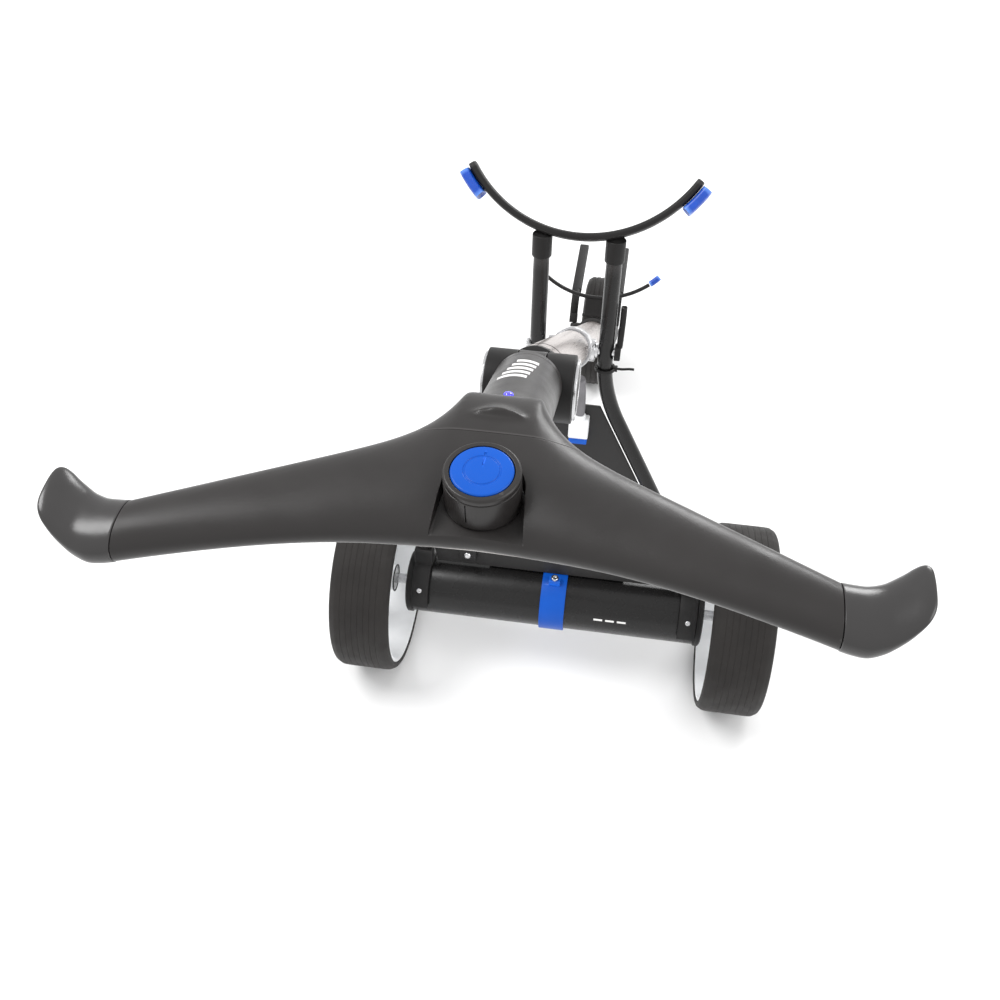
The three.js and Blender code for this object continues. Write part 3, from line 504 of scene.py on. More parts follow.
def wrapped(name, x0, x1, r0, r1, from_deg, to_deg, place, steps=24):
    """Curved slab about local X, between two radii and two angles measured from local +Z towards +Y."""
    verts = []
    for k in range(steps + 1):
        a = math.radians(from_deg + (to_deg - from_deg) * k / steps)
        y, z = math.sin(a), math.cos(a)
        for x, r in ((x0, r0), (x1, r0), (x1, r1), (x0, r1)):
            verts.append((x, r * y, r * z))
    faces = [(0, 1, 2, 3), tuple(range(len(verts) - 4, len(verts)))]
    for k in range(steps):
        for i in range(4):
            n = (i + 1) % 4
            faces.append((4 * k + i, 4 * k + n, 4 * k + 4 + n, 4 * k + 4 + i))
    return build(name, verts, faces, place)


def settle(obj):
    """Applies the object's modifiers to its mesh."""
    view = bpy.context.evaluated_depsgraph_get()
    mesh = bpy.data.meshes.new_from_object(obj.evaluated_get(view))
    obj.modifiers.clear()
    obj.data = mesh
    return obj


def combine(obj, operation, *tools):
    for tool in tools:
        modifier = obj.modifiers.new("combine", "BOOLEAN")
        modifier.operation = operation
        modifier.object = tool
        modifier.solver = "EXACT"
    settle(obj)
    for tool in tools:
        bpy.data.objects.remove(tool)
    return shade(obj)


def copy_of(obj, name):
    twin = bpy.data.objects.new(name, obj.data.copy())
    bpy.context.scene.collection.objects.link(twin)
    return twin


def ease(obj, width, angle=42):
    """Small round on every edge sharper than the angle."""
    modifier = obj.modifiers.new("ease", "BEVEL")
    modifier.width = width / 1000
    modifier.segments = 2
    modifier.limit_method = "ANGLE"
    modifier.angle_limit = math.radians(angle)
    modifier.use_clamp_overlap = True
    settle(obj)
    return shade(obj)


def dress(obj, look, body):
    obj.data.materials.clear()
    obj.data.materials.append(look)
    for polygon in obj.data.polygons:
        polygon.material_index = 0
    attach(obj, body)
    return obj


def stand_for(obj, *nodes):
    """Gives the object the look and body of the CAD nodes that it replaces."""
    dress(obj, LOOK[SLOT[nodes[0]]], BODY[nodes[0]])
    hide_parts(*nodes)
    return obj


def trim(obj, slot_name, body, look=None):
    """A small detail with no CAD node of its own."""
    return dress(obj, look or LOOK[slot_name], body)


# ------------------------------------------------------------------ handle

SEAM_X = 186
COVER_END = 38
LIP_Z = -27
NECK_RADIUS = 24.5
NECK_END = NECK_LENGTH - 27
LAMP_S = 48
KNOB_RADIUS = 21
KNOB_FLOOR = -18
KNOB_TOP = 7.5
SPARE = 12                 # length of the blank that is cut off again behind each seam
SEAM = 0.35                # width of the dark seams between shells


def rear_edge(x):
    return -27 - 38 * (x / SEAM_X) ** 1.6


def front_edge(x):
    return 62.2 - 0.488 * x + 11.4 * math.exp((36 - x) / 14)


def grip_section(x):
    bulge = math.exp(-((x / 60) ** 2))
    rear = rear_edge(abs(x))
    front = front_edge(max(abs(x), 22))
    return oval(x, (rear + front) / 2, -18 - 6 * bulge, (front - rear) / 2, 12 + 8 * bulge, 72, 2.15)


def handle_blank():
    """Wing and neck melted into one smooth body."""
    count = 124
    stations = [(SEAM_X + SPARE) * (2 * k / count - 1) for k in range(count + 1)]
    wing = loft("wing", [grip_section(x) for x in stations], HANDLE)
    end = NECK_END + SPARE
    profile = [
        (2, 0), (2, 30), (14, 28.6), (28, 26.6), (42, 25.2),
        (58, NECK_RADIUS), (end, NECK_RADIUS), (end, 0),
    ]
    neck = lathe("neck", profile, NECK @ ALONG_Y, 96, 0)
    combine(wing, "UNION", neck)
    remesh = wing.modifiers.new("remesh", "REMESH")
    remesh.mode = "VOXEL"
    remesh.voxel_size = 0.0014
    soften = wing.modifiers.new("soften", "SMOOTH")
    soften.factor = 0.5
    soften.iterations = 14
    settle(wing)
    return shade(wing, 60)


def pocket_tool():
    """Room round the knob, open towards the user."""
    outline = [(-29, -70), (29, -70)]
    for k in range(25):
        a = math.pi * k / 24
        outline.append(((KNOB_RADIUS + 1.8) * math.cos(a), (KNOB_RADIUS + 1.8) * math.sin(a)))
    low = [(x, y, KNOB_FLOOR) for x, y in outline]
    high = [(x, y, 30) for x, y in outline]
    return loft("pocket", [low, high], HANDLE)


def handle_shells():
    blank = handle_blank()
    far = 400
    side = SEAM_X - 0.2
    upper = copy_of(blank, "grip_upper_shell")
    combine(upper, "INTERSECT", slab("keep", (-side, -far, LIP_Z), (side, COVER_END - SEAM, far), HANDLE, 0))
    combine(upper, "DIFFERENCE", pocket_tool())
    ease(upper, 0.7)
    stand_for(upper, "grip_upper")
    lower = copy_of(blank, "grip_lower_shell")
    combine(
        lower, "INTERSECT",
        slab("keep", (-side, -far, -far), (side, COVER_END - SEAM, LIP_Z - 0.5), HANDLE, 0),
    )
    ease(lower, 0.5)
    stand_for(lower, "grip_lower")
    cover = copy_of(blank, "neck_cover_shell")
    combine(cover, "INTERSECT", slab("keep", (-far, COVER_END, -far), (far, far, far), HANDLE, 0))
    combine(cover, "INTERSECT", slab("keep", (-far, -far, -far), (far, NECK_END, far), NECK, 0))
    hole = rod("lamp_hole", 14, 60, 3.3, NECK @ shift(0, LAMP_S, 0) @ ALONG_Z, 48, 0)
    ring = NECK_END - 7
    groove = hoop("groove", ring, ring + 0.8, 24.1, 27, NECK @ ALONG_Y, 96, 0)
    combine(cover, "DIFFERENCE", hole, groove)
    tongue = hoop("tongue", -10, 10, 5.4, 25, PIVOT, 96, 0.6)
    web = slab("web", (-10, NECK_END - 4, -21), (10, NECK_LENGTH, 12), NECK, 0)
    bore = rod("bore", -40, 40, 5.4, PIVOT, 48, 0)
    combine(cover, "UNION", tongue, web)
    combine(cover, "DIFFERENCE", bore)
    ease(cover, 0.5)
    stand_for(cover, "neck_cover")
    bpy.data.objects.remove(blank)


def level_bars():
    """Plain bars printed across the neck, each shorter than the last."""
    neck = NECK @ ALONG_Y
    for k in range(5):
        start = 92 + 9.6 * k
        bar = wrapped(f"level_bar_{k}", start, start + 5.4, NECK_RADIUS - 0.3, NECK_RADIUS + 0.12,
                      -13 - 2.4 * k, 33 - 5 * k, neck)
        trim(bar, "white_plastic", "handle", INK)


def end_caps():
    sections = [
        (SEAM_X + 0.3, -47, -18, 18.4, 12), (193, -47.8, -18.4, 19, 12.2), (200, -48, -18.4, 19.3, 12.2),
        (207, -46.4, -16.8, 19.2, 11.2), (212, -44.4, -14.2, 19.2, 10), (217, -42, -10.8, 19, 8.4),
        (221, -39.6, -7.6, 18.6, 6.8), (224.5, -37.6, -4.8, 17.4, 5.2), (227, -36.2, -3, 15, 3.8),
        (228.5, -35.4, -2, 11.4, 2.4), (229.1, -35.1, -1.6, 6, 1),
    ]
    for name, side in SIDES:
        path = []
        for i in range(5):
            column = smooth_path([(s[i], k, 0) for k, s in enumerate(sections)], 60)
            path.append([p.x for p in column])
        rings = [oval(side * x, y, z, d, h, 72, 2.2) for x, y, z, d, h in zip(*path)]
        cap = loft(f"end_cap_{name}_shell", rings, HANDLE, 50)
        ease(cap, 0.6, 60)
        stand_for(cap, f"end_cap_{name}")


def speed_knob():
    base, top = KNOB_FLOOR + 0.5, KNOB_TOP
    side = [
        (base, 3.4), (base, 20.2), (base + 1.1, KNOB_RADIUS), (top - 4.6, KNOB_RADIUS),
        (top - 4.4, KNOB_RADIUS - 0.6), (top - 3.9, KNOB_RADIUS - 0.6), (top - 3.7, KNOB_RADIUS),
        (top - 1.0, KNOB_RADIUS), (top, 20), (top, 17.5), (top - 5.6, 17.5), (top - 5.6, 3.4), (base, 3.4),
    ]
    knob = lathe("speed_knob_body", side, HANDLE @ ALONG_Z, 128, 0.5)
    marker = slab("marker", (-6.2, -30, -12), (-5.4, -18.6, top - 5.2), HANDLE, 0)
    combine(knob, "DIFFERENCE", marker)
    stand_for(knob, "speed_knob")
    face = [
        (-3.4, 0), (-3.4, 17), (-0.3, 17), (0.35, 16.2), (0.5, 12.2), (0.5, 10.4), (0.05, 10.1),
        (0.05, 9.3), (0.5, 9.0), (0.62, 5), (0.65, 0),
    ]
    crown = HANDLE @ shift(0, 0, KNOB_TOP)
    button = lathe("power_button_face", face, crown @ ALONG_Z, 128, 0.35)
    bar = slab("button_mark", (-0.7, 3.2, 0.15), (0.7, 12.4, 3), crown, 0)
    combine(button, "DIFFERENCE", bar)
    stand_for(button, "power_button")
    lens = [(16.6, 0), (16.6, 3), (25.0, 3), (25.9, 2.3), (26.3, 1.2), (26.4, 0)]
    stand_for(lathe("status_lamp_lens", lens, NECK @ shift(0, LAMP_S, 0) @ ALONG_Z, 48, 0.4), "status_lamp")


# ------------------------------------------------------------------ shaft

BARREL_RADIUS = 25
BARREL_HALF = 32
ROOT_END = PIVOT_S + 29
TONGUE_HALF = 10
PIN_RADIUS = 5
SHAFT_RADIUS = 21
SHAFT_INNER = 18.5
SHAFT_END = 1196           # down the shaft's line, inside the fork's socket
SHAFT_SEAM = 160.4


def barrel():
    plug_end = PIVOT_S + 72        # the root's plug reaches this far into the shaft
    line = [
        (PIVOT_S + 14, 0), (PIVOT_S + 14, SHAFT_RADIUS), (ROOT_END, SHAFT_RADIUS),
        (ROOT_END, SHAFT_INNER - 0.3), (plug_end, SHAFT_INNER - 0.3), (plug_end, 0),
    ]
    body = lathe("handle_barrel_body", line, SHAFT @ ALONG_Y, 96, 0.4)
    for _, side in SIDES:
        line = [
            (TONGUE_HALF + 0.6, 0), (TONGUE_HALF + 0.6, BARREL_RADIUS), (BARREL_HALF, BARREL_RADIUS),
            (BARREL_HALF, 0),
        ]
        combine(body, "UNION", lathe("cheek", line, PIVOT @ MIRROR[side], 96, 1.0))
        ends = sorted((side * (TONGUE_HALF + 0.6), side * SHAFT_RADIUS))
        combine(body, "UNION", slab("root", (ends[0], PIVOT_S, -22), (ends[1], ROOT_END, 15), SHAFT, 0))
    bore = rod("bore", -40, 40, 5.3, PIVOT, 48, 0)
    room = rod("room", -10.6, 10.6, 25.6, PIVOT, 96, 0)
    combine(body, "DIFFERENCE", bore, room)
    ease(body, 0.6)
    stand_for(body, "handle_barrel")
    inner = BARREL_HALF + 0.3
    disc = [
        (inner, 0), (inner, 22.2), (inner + 1.6, 22.2), (inner + 2.2, 21.4), (inner + 2.2, 19.6),
        (inner + 1.4, 19.2), (inner + 1.4, 0),
    ]
    stand_for(lathe("barrel_cap_disc", disc, PIVOT, 96, 0.3), "barrel_cap")
    mirrored = [(-x, r) for x, r in reversed(disc[1:])]
    pin_line = mirrored + [(-inner, PIN_RADIUS), (BARREL_HALF, PIN_RADIUS), (BARREL_HALF, 0)]
    stand_for(lathe("handle_pin_body", pin_line, PIVOT, 96, 0.3), "handle_pin")
    face = [
        (inner + 1.45, 0), (inner + 1.45, 19), (inner + 1.9, 18.6), (inner + 1.9, 6), (inner + 1.6, 5.4),
        (inner + 1.6, 0),
    ]
    for name, side in SIDES:
        trim(lathe(f"barrel_face_{name}", face, PIVOT @ MIRROR[side], 96, 0.2), "black_plastic", "shaft")


def main_tube():
    start = ROOT_END + 0.3
    along = SHAFT @ ALONG_Y
    tube = hoop("main_shaft_tube", start, SHAFT_END, SHAFT_INNER, SHAFT_RADIUS, along, 128, 0.5)
    stand_for(tube, "main_shaft")
    low, high = SHAFT_SEAM, SHAFT_SEAM + 1.2
    ring = hoop("shaft_seam", low, high, SHAFT_RADIUS + 0.02, SHAFT_RADIUS + 0.3, along, 96, 0)
    trim(ring, "black_plastic", "shaft")


def frame_pivot():
    low, high = FOLD_S - 24, FOLD_S + 24
    line = [(low, 21.3), (low, 24.5), (high, 24.5), (high, 21.3), (low, 21.3)]
    sleeve = lathe("frame_clamp_body", line, SHAFT @ ALONG_Y, 96, 1.0)
    boss = [
        (-30.6, 5.3), (-30.6, 9), (-27.5, 9), (-27.5, 13), (27.5, 13), (27.5, 9), (30.6, 9), (30.6, 5.3),
        (-30.6, 5.3),
    ]
    combine(sleeve, "UNION", lathe("boss", boss, SHAFT @ shift(0, FOLD_S, 0), 64, 0.8))
    bore = rod("bore", low - 8, high + 8, 21.3, SHAFT @ ALONG_Y, 96, 0)
    combine(sleeve, "DIFFERENCE", bore)
    ease(sleeve, 0.5)
    stand_for(sleeve, "frame_clamp")
    for name, side in SIDES:
        head = [
            (22.4, 0), (22.4, 5), (49.4, 5), (49.4, 8.4), (52.2, 8.4), (53, 7.4), (53, 3.4), (51.4, 3.0),
            (51.4, 0),
        ]
        if side > 0:
            head = [(22.4, 0), (22.4, 5), (49.4, 5), (49.4, 6.5), (52.4, 6.5), (53, 5.8), (53, 0)]
        bolt = lathe(
            f"pivot_bolt_{name}_body", head, SHAFT @ shift(0, FOLD_S, 0) @ MIRROR[side],
            6 if side < 0 else 64, 0.25,
        )
        stand_for(bolt, f"pivot_bolt_{name}")


def lock_lever():
    """Closed, the lever lies up along the right tube."""
    seat = TUBES.inverted() @ fold
    place = TUBES @ shift(0, seat.y, seat.z)
    line = [(49.9, 6.9), (49.9, 10), (56, 10), (57, 9), (57, 0), (53.4, 0), (53.4, 6.9), (49.9, 6.9)]
    hub = lathe("fold_lever_body", line, place, 64, 0.5)
    path = smooth_path([(55, 0, 7), (55.6, 1, 24), (56, 2.5, 42), (56, 3, 58)], 36)
    combine(hub, "UNION", sweep("arm", path, (0, 1, 0), 3.6, 3.6, place, 32, 2.4, 2))
    ease(hub, 0.4)
    stand_for(hub, "fold_lever")


# ------------------------------------------------------------------ frame tubes and cradles

TUBE_RADIUS = 9
TUBE_HALF_GAP = 40
TUBE_FOOT_HALF = 190
BEND_UP = 353
FRAME_TOP = 530
HOUSING_RADIUS = 42


def frame_tubes():
    for name, side in SIDES:
        foot = Vector((side * TUBE_FOOT_HALF, 0, HOUSING_RADIUS + 14))
        corner = Vector((side * TUBE_HALF_GAP, 0, BEND_UP))
        top = Vector((side * TUBE_HALF_GAP, 0, FRAME_TOP))
        below = corner.lerp(foot, 0.15)
        above = corner.lerp(top, 0.24)
        path = [foot.lerp(below, k / 8) for k in range(8)]
        for k in range(25):
            t = k / 24
            path.append(below * (1 - t) ** 2 + corner * 2 * t * (1 - t) + above * t * t)
        path += [above.lerp(top, k / 6) for k in range(1, 7)]
        tube = sweep(
            f"frame_tube_{name}_body", path, (0, 1, 0), TUBE_RADIUS, TUBE_RADIUS, TUBES, 64, 2.0, 1.0,
        )
        stand_for(tube, f"frame_tube_{name}")


def tube_feet():
    slope = math.atan((TUBE_FOOT_HALF - TUBE_HALF_GAP) / (BEND_UP - HOUSING_RADIUS - 14))
    for name, side in SIDES:
        place = TUBES @ MIRROR[side]
        saddle = wrapped(
            f"tube_foot_{name}_body", 172, 195.5, HOUSING_RADIUS + 0.4, HOUSING_RADIUS + 6, -96, 96,
            place, 64,
        )
        combine(
            saddle, "UNION",
            slab("socket", (170, -13, HOUSING_RADIUS + 1), (196, 13, HOUSING_RADIUS + 28), place, 2.5),
        )
        foot = place @ shift(TUBE_FOOT_HALF, 0, HOUSING_RADIUS + 14)
        along_tube = foot @ Matrix.Rotation(-slope, 4, "Y") @ ALONG_Z
        hole = rod("hole", 0, 60, TUBE_RADIUS + 0.3, along_tube, 64, 0)
        combine(saddle, "DIFFERENCE", hole)
        ease(saddle, 0.8)
        stand_for(saddle, f"tube_foot_{name}")
        for k, angle in enumerate((-62, 62)):
            seat = place @ shift(184, 0, 0) @ Matrix.Rotation(-math.radians(angle), 4, "X")
            screw = lathe(
                f"foot_screw_{name}_{k}",
                [(47.5, 0), (47.5, 3.4), (49.6, 3.4), (50.2, 2.6), (50.2, 1.6), (49.4, 1.4), (49.4, 0)],
                seat @ ALONG_Z, 32, 0.3,
            )
            trim(screw, "steel", "chassis")


def arc(station, low, radius, start, end, count):
    points = []
    for k in range(count + 1):
        a = start + (end - start) * k / count
        points.append(Vector((radius * math.sin(a), station, low + radius * (1 - math.cos(a)))))
    return points


def upper_cradle():
    station, low, radius = 513.2, 122.4, 145
    end = math.radians(57.5)
    half_thick = 4.5
    fin = 6.0                      # half the pad's thickness
    outward = half_thick + 0.3 + fin
    path = arc(station, low, radius, -end, end, 96)
    bar = sweep("upper_cradle_bar", path, (0, 1, 0), 13, half_thick, SHAFT, 40, 3.2, 1.5)
    tubes = [TUBES @ shift(side * TUBE_HALF_GAP, 0, 0) @ ALONG_Z for _, side in SIDES]
    for place in tubes:
        combine(bar, "UNION", rod("cup", FRAME_TOP - 8, FRAME_TOP + 18, TUBE_RADIUS + 2, place, 64, 1.5))
    for place in tubes:
        hole = rod("hole", FRAME_TOP - 40, FRAME_TOP + 0.3, TUBE_RADIUS + 0.3, place, 64, 0)
        combine(bar, "DIFFERENCE", hole)
    ease(bar, 0.7)
    stand_for(bar, "upper_cradle")
    for name, side in SIDES:
        start, stop = side * math.radians(45), side * math.radians(56.5)
        path = arc(station, low - outward, radius + outward, start, stop, 16)
        pad = sweep(f"upper_pad_{name}_body", path, (0, 1, 0), 15, fin, SHAFT, 48, 3.4, 3)
        stand_for(pad, f"upper_pad_{name}")


def lower_cradle():
    station, low, radius = 1150, 60, 142
    end, tip = math.radians(37), math.radians(45)
    path = arc(station, low, radius, -end, end, 72)
    bar = sweep("lower_cradle_bar", path, (0, 1, 0), 7, 3.2, SHAFT, 32, 3.0, 1.5)
    combine(bar, "UNION", slab("post", (-16, station - 5, 29), (16, station + 5, low), SHAFT, 1.5))
    combine(bar, "UNION", slab("shoe", (-20, 1146, 27.4), (20, 1171, 33), SHAFT, 1.5))
    ease(bar, 0.5)
    stand_for(bar, "lower_cradle")
    for name, side in SIDES:
        path = arc(station, low, radius, side * (end + 1 / radius), side * tip, 16)
        pad = sweep(f"lower_pad_{name}_body", path, (0, 1, 0), 9, 5, SHAFT, 48, 3.2, 2.5)
        stand_for(pad, f"lower_pad_{name}")


# ------------------------------------------------------------------ front wheel and fork

FRONT_WIDTH = 50
FRONT_RADIUS = 97


def fork():
    inner = FRONT_WIDTH / 2 + 6.5
    outer = inner + 8
    body = slab("front_fork_body", (-outer, 1172, -15), (outer, 1214, 15), SHAFT, 3)
    combine(body, "UNION", rod("socket", 1146, 1180, 27, SHAFT @ ALONG_Y, 96, 1.2))
    for _, side in SIDES:
        low, high = sorted((side * inner, side * outer))
        combine(body, "UNION", slab("leg", (low, 1205, -12), (high, REACH, 12), SHAFT, 2))
        eye = rod("eye", inner, outer, 12, SHAFT @ shift(0, REACH, 0) @ MIRROR[side], 64, 0.8)
        combine(body, "UNION", eye)
    hollow = rod("hollow", 1140, SHAFT_END + 0.4, SHAFT_RADIUS + 0.3, SHAFT @ ALONG_Y, 96, 0)
    bore = rod("bore", -60, 60, 5.3, SHAFT @ shift(0, REACH, 0), 48, 0)
    combine(body, "DIFFERENCE", hollow, bore)
    ease(body, 0.6)
    stand_for(body, "front_fork")
    pin = [(-44, 0), (-44, 7.6), (-43, 9), (-39.8, 9), (-39.8, 5), (44.5, 5), (44.5, 0)]
    axle = lathe("front_axle_body", pin, SHAFT @ shift(0, REACH, 0), 64, 0.4)
    nut = rod("nut", 39.8, 46, 8.5, SHAFT @ shift(0, REACH, 0), 6, 0.4)
    combine(axle, "UNION", nut)
    stand_for(axle, "front_axle")


def front_wheel():
    half = FRONT_WIDTH / 2
    tread = [(-half + 3, 76.3), (-half, 82), (-half + 3, 92), (-half + 10, FRONT_RADIUS - 0.3)]
    for k in (-9, 0, 9):
        tread += [
            (k - 1.2, FRONT_RADIUS), (k - 0.8, FRONT_RADIUS - 1.1), (k + 0.8, FRONT_RADIUS - 1.1),
            (k + 1.2, FRONT_RADIUS),
        ]
    tread += [
        (half - 10, FRONT_RADIUS - 0.3), (half - 3, 92), (half, 82), (half - 3, 76.3), (-half + 3, 76.3),
    ]
    stand_for(lathe("front_tyre_body", tread, FRONT, 160, 1.2), "front_tyre")
    line = [
        (-half + 4, 72), (-half + 4, 76), (half - 4, 76), (half - 4, 72), (5, 68), (5, 22), (half + 4, 14),
        (half + 4, 5.3), (-half - 4, 5.3), (-half - 4, 14), (-5, 22), (-5, 68), (-half + 4, 72),
    ]
    rim = lathe("front_rim_body", line, FRONT, 160, 1.2)
    holes = []
    for k in range(6):
        place = FRONT @ Matrix.Rotation(2 * math.pi * k / 6, 4, "X") @ shift(0, 0, 45)
        holes.append(rod("hole", -12, 12, 13, place, 48, 0))
    combine(rim, "DIFFERENCE", *holes)
    ease(rim, 0.8)
    stand_for(rim, "front_rim")


def bag_rails():
    """The rails stay level, so they are drawn straight in the row frame."""
    rear = rear_hub.y * 1000
    for name, side in SIDES:
        x = side * 36
        level = slab(
            f"bag_stop_{name}_body", (x - 8, 590 + rear, 226), (x + 8, 728 + rear, 236), MILLIMETRE, 2.2,
        )
        path = smooth_path(
            [(x, y + rear, z) for y, z in ((552, 202), (562, 219), (580, 229), (598, 231))], 30,
        )
        combine(level, "UNION", sweep("rise", path, (1, 0, 0), 6.5, 5, MILLIMETRE, 32, 3.0, 1))
        combine(level, "UNION", slab("foot", (x - 6, 1174, 15.4), (x + 6, 1204, 30), SHAFT, 1))
        ease(level, 0.6)
        stand_for(level, f"bag_stop_{name}")


# ------------------------------------------------------------------ battery, panel and lead

def panel():
    slope = (TUBE_FOOT_HALF - TUBE_HALF_GAP) / (BEND_UP - HOUSING_RADIUS - 14)
    clearance = (TUBE_RADIUS + 1.8) * math.hypot(1, slope)
    top = 330

    def edge(up):
        return TUBE_HALF_GAP + (BEND_UP - up) * slope - clearance

    low = HOUSING_RADIUS + 30
    outline = [
        (-edge(low), low), (-165, HOUSING_RADIUS + 4), (165, HOUSING_RADIUS + 4), (edge(low), low),
        (edge(top), top), (-edge(top), top),
    ]
    body = prism("battery_carrier_panel", outline, -2, 2, TUBES, 1.0)
    shelf = slab("shelf", (-94, 1, 20), (94, 60, 47.5), TUBES, 1.5)
    combine(shelf, "DIFFERENCE", rod("round", -100, 100, 46.5, TUBES, 96, 0))
    combine(body, "UNION", shelf)
    combine(body, "UNION", slab("lip", (-94, 56.4, 40), (94, 60, 62), TUBES, 1.0))
    for x in (-28, 0, 28):
        reach = 110 if x else 132
        combine(
            body, "UNION",
            slab("rib", (x * 1.6 - 1.6, -4.4, 92), (x * 1.6 + 1.6, -1, 92 + reach), TUBES, 0.8),
        )
    ease(body, 0.4)
    stand_for(body, "battery_carrier")


def battery():
    body = slab("battery_pack_case", (-90, 4.2, 48.2), (90, 56, 198), TUBES, 8, 5)
    grooves = []
    for up in (84, 162):
        grooves.append(slab("groove", (-95, 53.9, up - 1), (95, 60, up + 1), TUBES, 0))
    combine(body, "DIFFERENCE", *grooves)
    ease(body, 0.4)
    stand_for(body, "battery_pack")
    for k, x in enumerate((-72, 72)):
        latch = slab(f"battery_latch_{k}", (x - 9, 52, 188), (x + 9, 58.6, 200.5), TUBES, 1.2)
        trim(latch, "black_plastic", "chassis")


PLUG_X = 16
PLUG_UP = 292.7
PLUG_TOP = 318


def plug_and_lead():
    corner = (PLUG_X - 11, -18, PLUG_UP - 9.7)
    socket = slab("power_socket_body", corner, (PLUG_X + 11, -2.3, PLUG_UP - 0.3), TUBES, 1.2)
    stand_for(socket, "power_socket")
    plug = slab("power_plug_body", (PLUG_X - 12, -21, PLUG_UP), (PLUG_X + 12, -2.3, PLUG_TOP), TUBES, 2.0)
    start = PLUG_TOP + 6
    line = [(PLUG_TOP - 1, 0), (PLUG_TOP - 1, 8), (start, 7), (start, 0)]
    combine(plug, "UNION", lathe("sleeve", line, TUBES @ shift(PLUG_X, -12, 0) @ ALONG_Z, 48, 0.8))
    stand_for(ease(plug, 0.4), "power_plug")
    points = [
        (PLUG_X, -12, start + 0.6), (PLUG_X, -12, start + 14), (PLUG_X - 0.6, -15, 359),
        (PLUG_X - 2, -21, 380),
    ]
    stand_for(
        sweep("power_lead_sheath", smooth_path(points, 40), (1, 0, 0), 6, 6, TUBES, 32, 2.0, 1.0),
        "power_lead",
    )


def tie():
    place = TUBES @ shift(TUBE_HALF_GAP + 0.6, 0, 385)
    loop = hoop("cable_tie_loop", -2, 2, 10.4, 12, place @ ALONG_Z, 96, 0.3)
    combine(loop, "UNION", slab("head", (8.6, -2.6, -3), (14.6, 3.0, 3), place, 0.6))
    path = smooth_path([(12, 0, 0), (20, -0.6, 0.4), (28, 0.4, 0.9), (34, 0, 1.2)], 30)
    combine(loop, "UNION", sweep("tail", path, (0, 0, 1), 1.6, 0.7, place, 24, 3.0, 0.8))
    stand_for(ease(loop, 0.2), "cable_tie")


# ------------------------------------------------------------------ housing and rear wheels

REAR_RADIUS = 130
REAR_WIDTH = 82
TRACK_HALF = 250
WEB_X = TRACK_HALF + 16
TYRE_SEAT = 118
SPOKES = 5


def housing():
    line = [(-196, 38), (-196, 42), (196, 42), (196, 38), (-196, 38)]
    stand_for(lathe("motor_housing_tube", line, AXLE, 160, 0.6), "motor_housing")
    band = hoop("clamp_band_body", -17, 17, 42.3, 45.3, AXLE, 160, 0.8)
    combine(band, "UNION", slab("boss", (-8, -16, 42), (8, -6, 52), AXLE, 1.6))
    combine(band, "DIFFERENCE", rod("hole", 30, 60, 3.3, AXLE @ shift(0, -11, 0) @ ALONG_Z, 48, 0),
            rod("inside", -30, 30, 42.3, AXLE, 160, 0))
    stand_for(ease(band, 0.4), "clamp_band")
    screw = [(46, 0), (46, 3), (52.3, 3), (52.3, 5), (55.2, 5), (56, 4.2), (56, 2.4), (54, 2.2), (54, 0)]
    stand_for(lathe("clamp_screw_body", screw, AXLE @ shift(0, -11, 0) @ ALONG_Z, 48, 0.3), "clamp_screw")
    for name, side in SIDES:
        line = [
            (186, 12), (186, 37.7), (196.3, 37.7), (196.3, 44), (203, 44), (205, 41), (205, 16),
            (193, 16), (193, 12), (186, 12),
        ]
        stand_for(
            lathe(f"housing_cap_{name}_body", line, AXLE @ MIRROR[side], 128, 0.6), f"housing_cap_{name}",
        )
    for k in range(3):
        stripe = wrapped(f"housing_stripe_{k}", 58 + 16 * k, 70 + 16 * k, 41.9, 42.12, -76, -72, AXLE, 8)
        trim(stripe, "white_plastic", "chassis", INK)
    bracket = slab("panel_bracket", (-134, -9, 58), (-110, -2.4, 78), TUBES, 1.4)
    trim(bracket, "black_plastic", "chassis")
    dome = [(0, 0), (0, 5.4), (1.6, 5.2), (3.4, 3.6), (4.4, 0)]
    place = TUBES @ shift(-122, -9, 68) @ Matrix.Rotation(-math.pi / 2, 4, "Z")
    trim(lathe("bracket_dome", dome, place, 48, 0.4), "steel", "chassis")
    for name, side in SIDES:
        for k, x in enumerate((148, 164)):
            lug = slab(
                f"housing_lug_{name}_{k}", (x - 5, -10, -47), (x + 5, 6, -40.5), AXLE @ MIRROR[side], 1.2,
            )
            trim(lug, "black_plastic", "chassis")


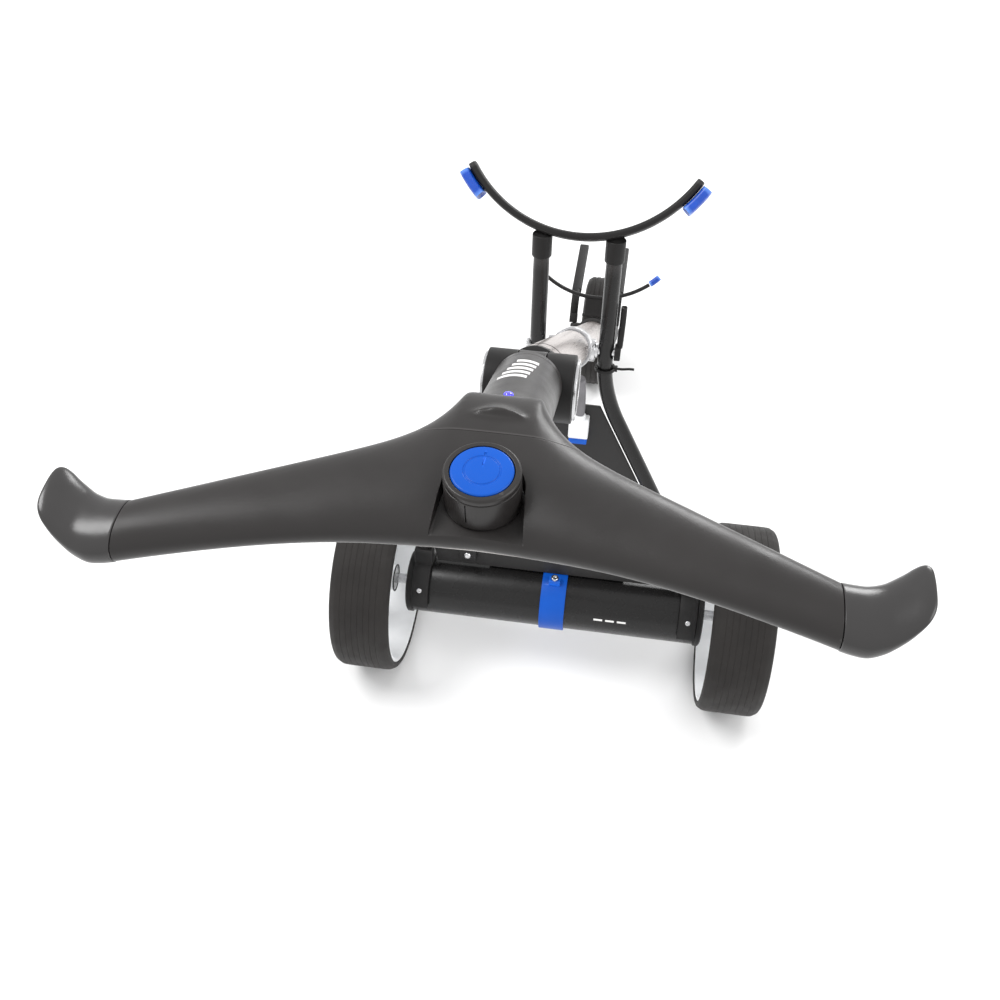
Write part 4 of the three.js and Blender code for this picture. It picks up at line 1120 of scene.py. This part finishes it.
def rear_wheels():
    inner, outer = TRACK_HALF - REAR_WIDTH / 2, TRACK_HALF + REAR_WIDTH / 2
    seat, bore, well = TYRE_SEAT + 0.3, 7.3, TYRE_SEAT - 5
    hub = WEB_X + 21
    floor_x = WEB_X + 14
    for name, side in SIDES:
        place = AXLE @ MIRROR[side]
        tread = [
            (inner + 1, seat), (inner, TYRE_SEAT + 4), (inner + 2.4, REAR_RADIUS - 4),
            (inner + 9, REAR_RADIUS - 0.4),
        ]
        for k in range(1, 8):
            x = inner + 9 + (REAR_WIDTH - 18) * k / 8
            tread += [
                (x - 0.7, REAR_RADIUS), (x - 0.3, REAR_RADIUS - 0.45), (x + 0.3, REAR_RADIUS - 0.45),
                (x + 0.7, REAR_RADIUS),
            ]
        tread += [
            (outer - 9, REAR_RADIUS - 0.4), (outer - 2.4, REAR_RADIUS - 4), (outer, TYRE_SEAT + 4),
            (outer - 1, seat), (inner + 1, seat),
        ]
        stand_for(lathe(f"rear_tyre_{name}_body", tread, place, 192, 1.5), f"rear_tyre_{name}")
        line = [
            (inner + 2, well), (inner + 2, TYRE_SEAT), (outer - 2, TYRE_SEAT), (outer - 2, well),
            (WEB_X + 6, well - 2), (WEB_X + 6, 26), (hub - 3, 19), (hub, 16), (hub, 9.4), (floor_x, 9.4),
            (floor_x, bore), (inner + 19, bore), (inner + 19, 17), (WEB_X, 24), (WEB_X, well - 2),
            (inner + 2, well),
        ]
        rim = lathe(f"rear_rim_{name}_body", line, place, 192, 1.2)
        windows = []
        spread = math.radians(22)
        for k in range(SPOKES):
            outline = []
            for i in range(13):
                a = -spread + 2 * spread * i / 12
                outline.append((98 * math.cos(a), 98 * math.sin(a)))
            for i in range(9):
                a = 0.62 * (spread - 2 * spread * i / 8)
                outline.append((44 * math.cos(a), 44 * math.sin(a)))
            spoke = Matrix.Rotation(2 * math.pi * k / SPOKES - side * math.pi / 2, 4, "X")
            low = [(WEB_X - 8, y, z) for y, z in outline]
            high = [(WEB_X + 14, y, z) for y, z in outline]
            windows.append(loft("window", [low, high], place @ spoke))
        combine(rim, "DIFFERENCE", *windows)
        ease(rim, 0.9)
        stand_for(rim, f"rear_rim_{name}")
        face = [
            (hub - 1.5, 0), (hub - 1.5, 9), (hub + 5, 9), (hub + 6, 7.5), (hub + 6, 5), (hub + 5.5, 4),
            (hub + 5.5, 0),
        ]
        stand_for(lathe(f"release_button_{name}_body", face, place, 64, 0.5), f"release_button_{name}")
        axle = [(128, 0), (128, 26), (134, 26), (134, 7), (278, 7), (279, 6), (279, 0)]
        stand_for(lathe(f"output_shaft_{name}_body", axle, place, 64, 0.3), f"output_shaft_{name}")
        ring = [
            (inner + 17.5, 17.2), (inner + 17.5, 19.5), (inner + 18.9, 19.5), (inner + 18.9, 17.2),
            (inner + 17.5, 17.2),
        ]
        trim(lathe(f"hub_ring_{name}", ring, place, 64, 0.3), "black_plastic", f"{name}_wheel")


def carried_over():
    """CAD pieces that keep their shape get their procedural look."""
    for node, obj in NODES.items():
        if obj.hide_render:
            continue
        obj.data.materials.clear()
        obj.data.materials.append(LOOK[SLOT[node]])


camera()
studio()
floor()
handle_shells()
level_bars()
end_caps()
speed_knob()
barrel()
main_tube()
frame_pivot()
lock_lever()
frame_tubes()
tube_feet()
upper_cradle()
lower_cradle()
fork()
front_wheel()
bag_rails()
panel()
battery()
plug_and_lead()
tie()
housing()
rear_wheels()
carried_over()
